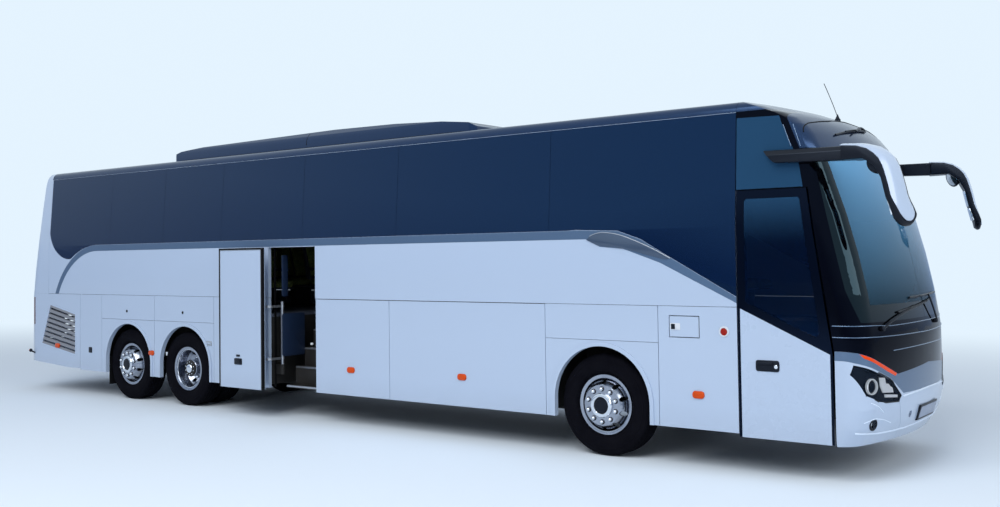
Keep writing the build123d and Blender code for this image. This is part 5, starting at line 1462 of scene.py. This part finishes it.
# %% Blown-up pads
VOXEL, PRESSURE, LAST_FRAME, SEAM_WIDE = 0.019, 4, 20, 0.016


def blown(piece, most):
    """Remeshes a soft block and inflates it as cloth. No point moves further than so much."""
    modify(piece, "REMESH", mode="VOXEL", voxel_size=VOXEL)
    before = [vertex.co.copy() for vertex in piece.data.vertices]
    only(piece)
    cloth = piece.modifiers.new("cloth", "CLOTH")
    cloth.settings.use_pressure = True
    cloth.settings.uniform_pressure_force = PRESSURE
    cloth.settings.effector_weights.gravity = 0
    cloth.point_cache.frame_start, cloth.point_cache.frame_end = 1, LAST_FRAME
    for moment in range(1, LAST_FRAME + 1):
        bpy.context.scene.frame_set(moment)
    bpy.ops.object.modifier_apply(modifier="cloth")
    bpy.context.scene.frame_set(1)
    for vertex, start in zip(piece.data.vertices, before):
        moved = vertex.co - start
        if moved.length > most:
            vertex.co = start + moved * (most / moved.length)
    return piece


def press_seams(piece, depth, lines):
    """Presses sewn channels in: each is a distance to the left, a height or a distance ahead that points are near."""
    centre = sum((vertex.co for vertex in piece.data.vertices), Vector()) / len(piece.data.vertices)
    for vertex in piece.data.vertices:
        near = max(max(0.0, 1 - abs(vertex.co[axis] - at) / SEAM_WIDE) for axis, at in lines)
        toward = centre - vertex.co
        toward[lines[0][0]] = 0
        if near and toward.length:
            vertex.co += toward.normalized() * depth * near
    return smooth(piece, 80)


def block(name, outline, half, bevel):
    """A soft block from a side view in the seat's own place, as wide as twice the half."""
    points = [Vector((ahead, -half, high)) for ahead, high in outline]
    return slab(name, points, (0, 2 * half, 0), bevel, 3)


cushion_outline = [(0.055, 0.315), (0.055, 0.415), (0.425, 0.405), (0.450, 0.375), (0.435, 0.315)]
cushion = block("cushion", cushion_outline, 0.195, 0.022)
press_seams(blown(cushion, 0.012), 0.007, [(1, -0.130), (1, 0.130)])
back_pad = block("back_pad", [(0.040, 0.430), (-0.078, 0.900), (-0.010, 0.925), (0.108, 0.455)], 0.195, 0.020)
press_seams(blown(back_pad, 0.012), 0.007, [(1, -0.125), (1, 0.125)])
head_pad = block("head_pad", [(-0.084, 0.915), (-0.122, 1.055), (-0.075, 1.068), (-0.018, 0.930)], 0.150, 0.016)
press_seams(blown(head_pad, 0.008), 0.004, [(1, -0.100), (1, 0.100)])
one_seat = joined("one_seat", cushion, back_pad, head_pad)
print("one seat's pads have", len(one_seat.data.polygons), "faces")

# %% [markdown]
# Shell, pan, arm rest and plinth are slabs in the seat's own place, so that one of each is enough. Copies with their
# own mesh go to each row and are joined by side, which keeps the number of pieces small. The right side has no row
# where the stairs are.

# %% Seat shells and rows
back_outline = [(0.085, 0.400), (0.070, 0.440), (-0.072, 1.000), (-0.112, 1.012), (-0.098, 0.960), (-0.020, 0.420)]
back_shell = block("back_shell", back_outline, 0.208, 0.010)
pan = block("pan", [(-0.020, 0.285), (-0.020, 0.330), (0.430, 0.322), (0.440, 0.300)], 0.205, 0.008)
arm_rest_outline = [(0.000, 0.545), (0.020, 0.590), (0.330, 0.580), (0.345, 0.560), (0.330, 0.548)]
arm_rest = block("arm_rest", arm_rest_outline, 0.022, 0.008)
one_shell = joined("one_shell", back_shell, pan)
SEATED = [-10.100 + 0.810 * i for i in range(14)]
STAIRS_FROM, STAIRS_TO = -5.554, -3.920
SALOON_FLOOR, CAB_FLOOR = 1.340, 0.900
PAIR_LEFT, HALF_PAIR, AISLE_LEFT = 0.740, 0.215, 0.315


def rows_of(pattern, name, side, lefts):
    """Copies of a piece at each row and at some places to the left, as one piece. The stairs have no row."""
    copies = []
    for ahead in SEATED:
        if side == RIGHT and STAIRS_FROM < ahead < STAIRS_TO:
            continue
        for left in lefts:
            copies.append(twin(pattern, name, Matrix.Translation(place(ahead, left, SALOON_FLOOR))))
    return joined(name, *copies)


plinth = block("plinth", [(0.080, 0.003), (0.060, 0.290), (0.360, 0.290), (0.340, 0.003)], 0.090, 0.010)
for side, hand in SIDES:
    pair = side * PAIR_LEFT - HALF_PAIR, side * PAIR_LEFT + HALF_PAIR
    pads = rows_of(one_seat, f"seat_pads_{hand}", side, pair)
    finish_as(pads, cloth_finish)
    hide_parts("seats")
    shells = rows_of(one_shell, f"seat_shells_{hand}", side, pair)
    rests = rows_of(arm_rest, f"arm_rests_{hand}", side, [side * AISLE_LEFT])
    plinths = rows_of(plinth, f"plinths_{hand}", side, [side * PAIR_LEFT])
    frames = dress(f"seat_frames_{hand}", [shells, rests, plinths], shell_plastic)
    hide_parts("seats")
    print(hand, "side:", len(pads.data.polygons), "faces of pads")

# %% [markdown]
# The driver's seat is the same seat a little wider, on a pedestal behind the steering wheel.

# %% Driver's seat
at_wheel = Matrix.Translation(place(1.680, 0.640, CAB_FLOOR))
driver_spot = at_wheel @ Matrix.Diagonal((1.0, 1.12, 1.0, 1.0))
driver_pads = finish_as(twin(one_seat, "driver_seat_pads", driver_spot), cloth_finish)
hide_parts("seats")
pedestal = block("pedestal", [(0.060, 0.004), (0.100, 0.290), (0.340, 0.290), (0.380, 0.004)], 0.130, 0.016)
pedestal.data.transform(at_wheel)
driver_parts = [pedestal, twin(one_shell, "driver_shell", driver_spot)]
driver_frame = dress("driver_seat_frame", driver_parts, shell_plastic)
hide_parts("seats")
for pattern in (one_seat, one_shell, arm_rest, plinth):
    bpy.data.objects.remove(pattern)
print("driver's seat stands at", tuple(round(v, 2) for v in driver_spot.translation))

# %% [markdown]
# The studio is a pale floor under a pale sky. One broad soft lamp stands for the bright cloud above the coach's
# right side, a weaker one fills the front. Rays that the camera, a mirror or glass sends out see the pale
# background, which for mirrors and glass is darker along the horizon, as a room with a dark lower wall. Only the rest
# of the light comes from the weaker sky.

# %% Floor, sky and lamps
bpy.ops.object.select_all(action="DESELECT")
bpy.ops.mesh.primitive_plane_add(size=160, location=(0, 0, 0))
floor = named("studio_floor")
BACKDROP = (0.78, 0.90, 1.0)
floor_finish = Finish("studio_floor", (0.78, 0.87, 0.95), 0.9)
floor_finish.grain(3.0, 2.0, 0.02, 0.001)
floor_x, floor_y, _ = floor_finish.where()
MELTS_FROM, MELTS_OVER = 5.0, 13.0  # metres from the middle where the floor begins to melt into the sky, and how long
away = (floor_x * floor_x * 0.36 + floor_y * floor_y).maths("SQRT")
span = ((away - MELTS_FROM) / MELTS_OVER).clipped()
far = span * span * (3.0 - 2.0 * span)
seen_by_camera = floor_finish.node("LightPath", {}, "Is Camera Ray")
glow = floor_finish.node("Emission", {}, Color=(*BACKDROP, 1.0), Strength=1.0)
painted = Value(floor_finish.tree, floor_finish.shader.outputs[0])
melt = floor_finish.node("MixShader", {}, i0=far * seen_by_camera, i1=painted, i2=glow)
floor_finish.end_in(melt, "Material Output")
floor.data.materials.append(floor_finish.material)

world = bpy.data.worlds.new("studio")
bpy.context.scene.world = world
world.use_nodes = True
sky = Shading(world.node_tree)
direction = sky.node("TexCoord", {}, "Generated")
skywards = sky.node("SeparateXYZ", {}, 2, Vector=direction)
camera_ray, glossy_ray, glass_ray = [
    sky.node("LightPath", {}, f"Is {kind} Ray") for kind in ("Camera", "Glossy", "Transmission")
]
climb = ((skywards / 0.16).clipped() + camera_ray).clipped()
tone = sky.mix(climb, (0.25, 0.35, 0.54), BACKDROP)
light = sky.node("Background", {}, Color=(0.80, 0.87, 1.0, 1.0), Strength=0.50)
backdrop = sky.node("Background", {}, Color=tone, Strength=1.0)
seen = (camera_ray + glossy_ray + glass_ray).clipped()
sky.end_in(sky.node("MixShader", {}, i0=seen, i1=light, i2=backdrop), "World Output")


def lamp(name, where, target, size, power):
    """A square soft lamp that looks at a target."""
    data = bpy.data.lights.new(name, "AREA")
    data.size = size
    data.energy = power
    made = added(name, data)
    made.location = where
    made.rotation_euler = (Vector(target) - Vector(where)).to_track_quat("-Z", "Y").to_euler()
    return made


lamp("cloud_light", (4.0, -16.0, 15.0), (0, 0, 1.5), 14, 2700)
lamp("front_fill", (20.0, -3.0, 9.0), (5, 0, 1.5), 9, 900)
bpy.context.scene.view_settings.view_transform = "Standard"
print("studio is lit")
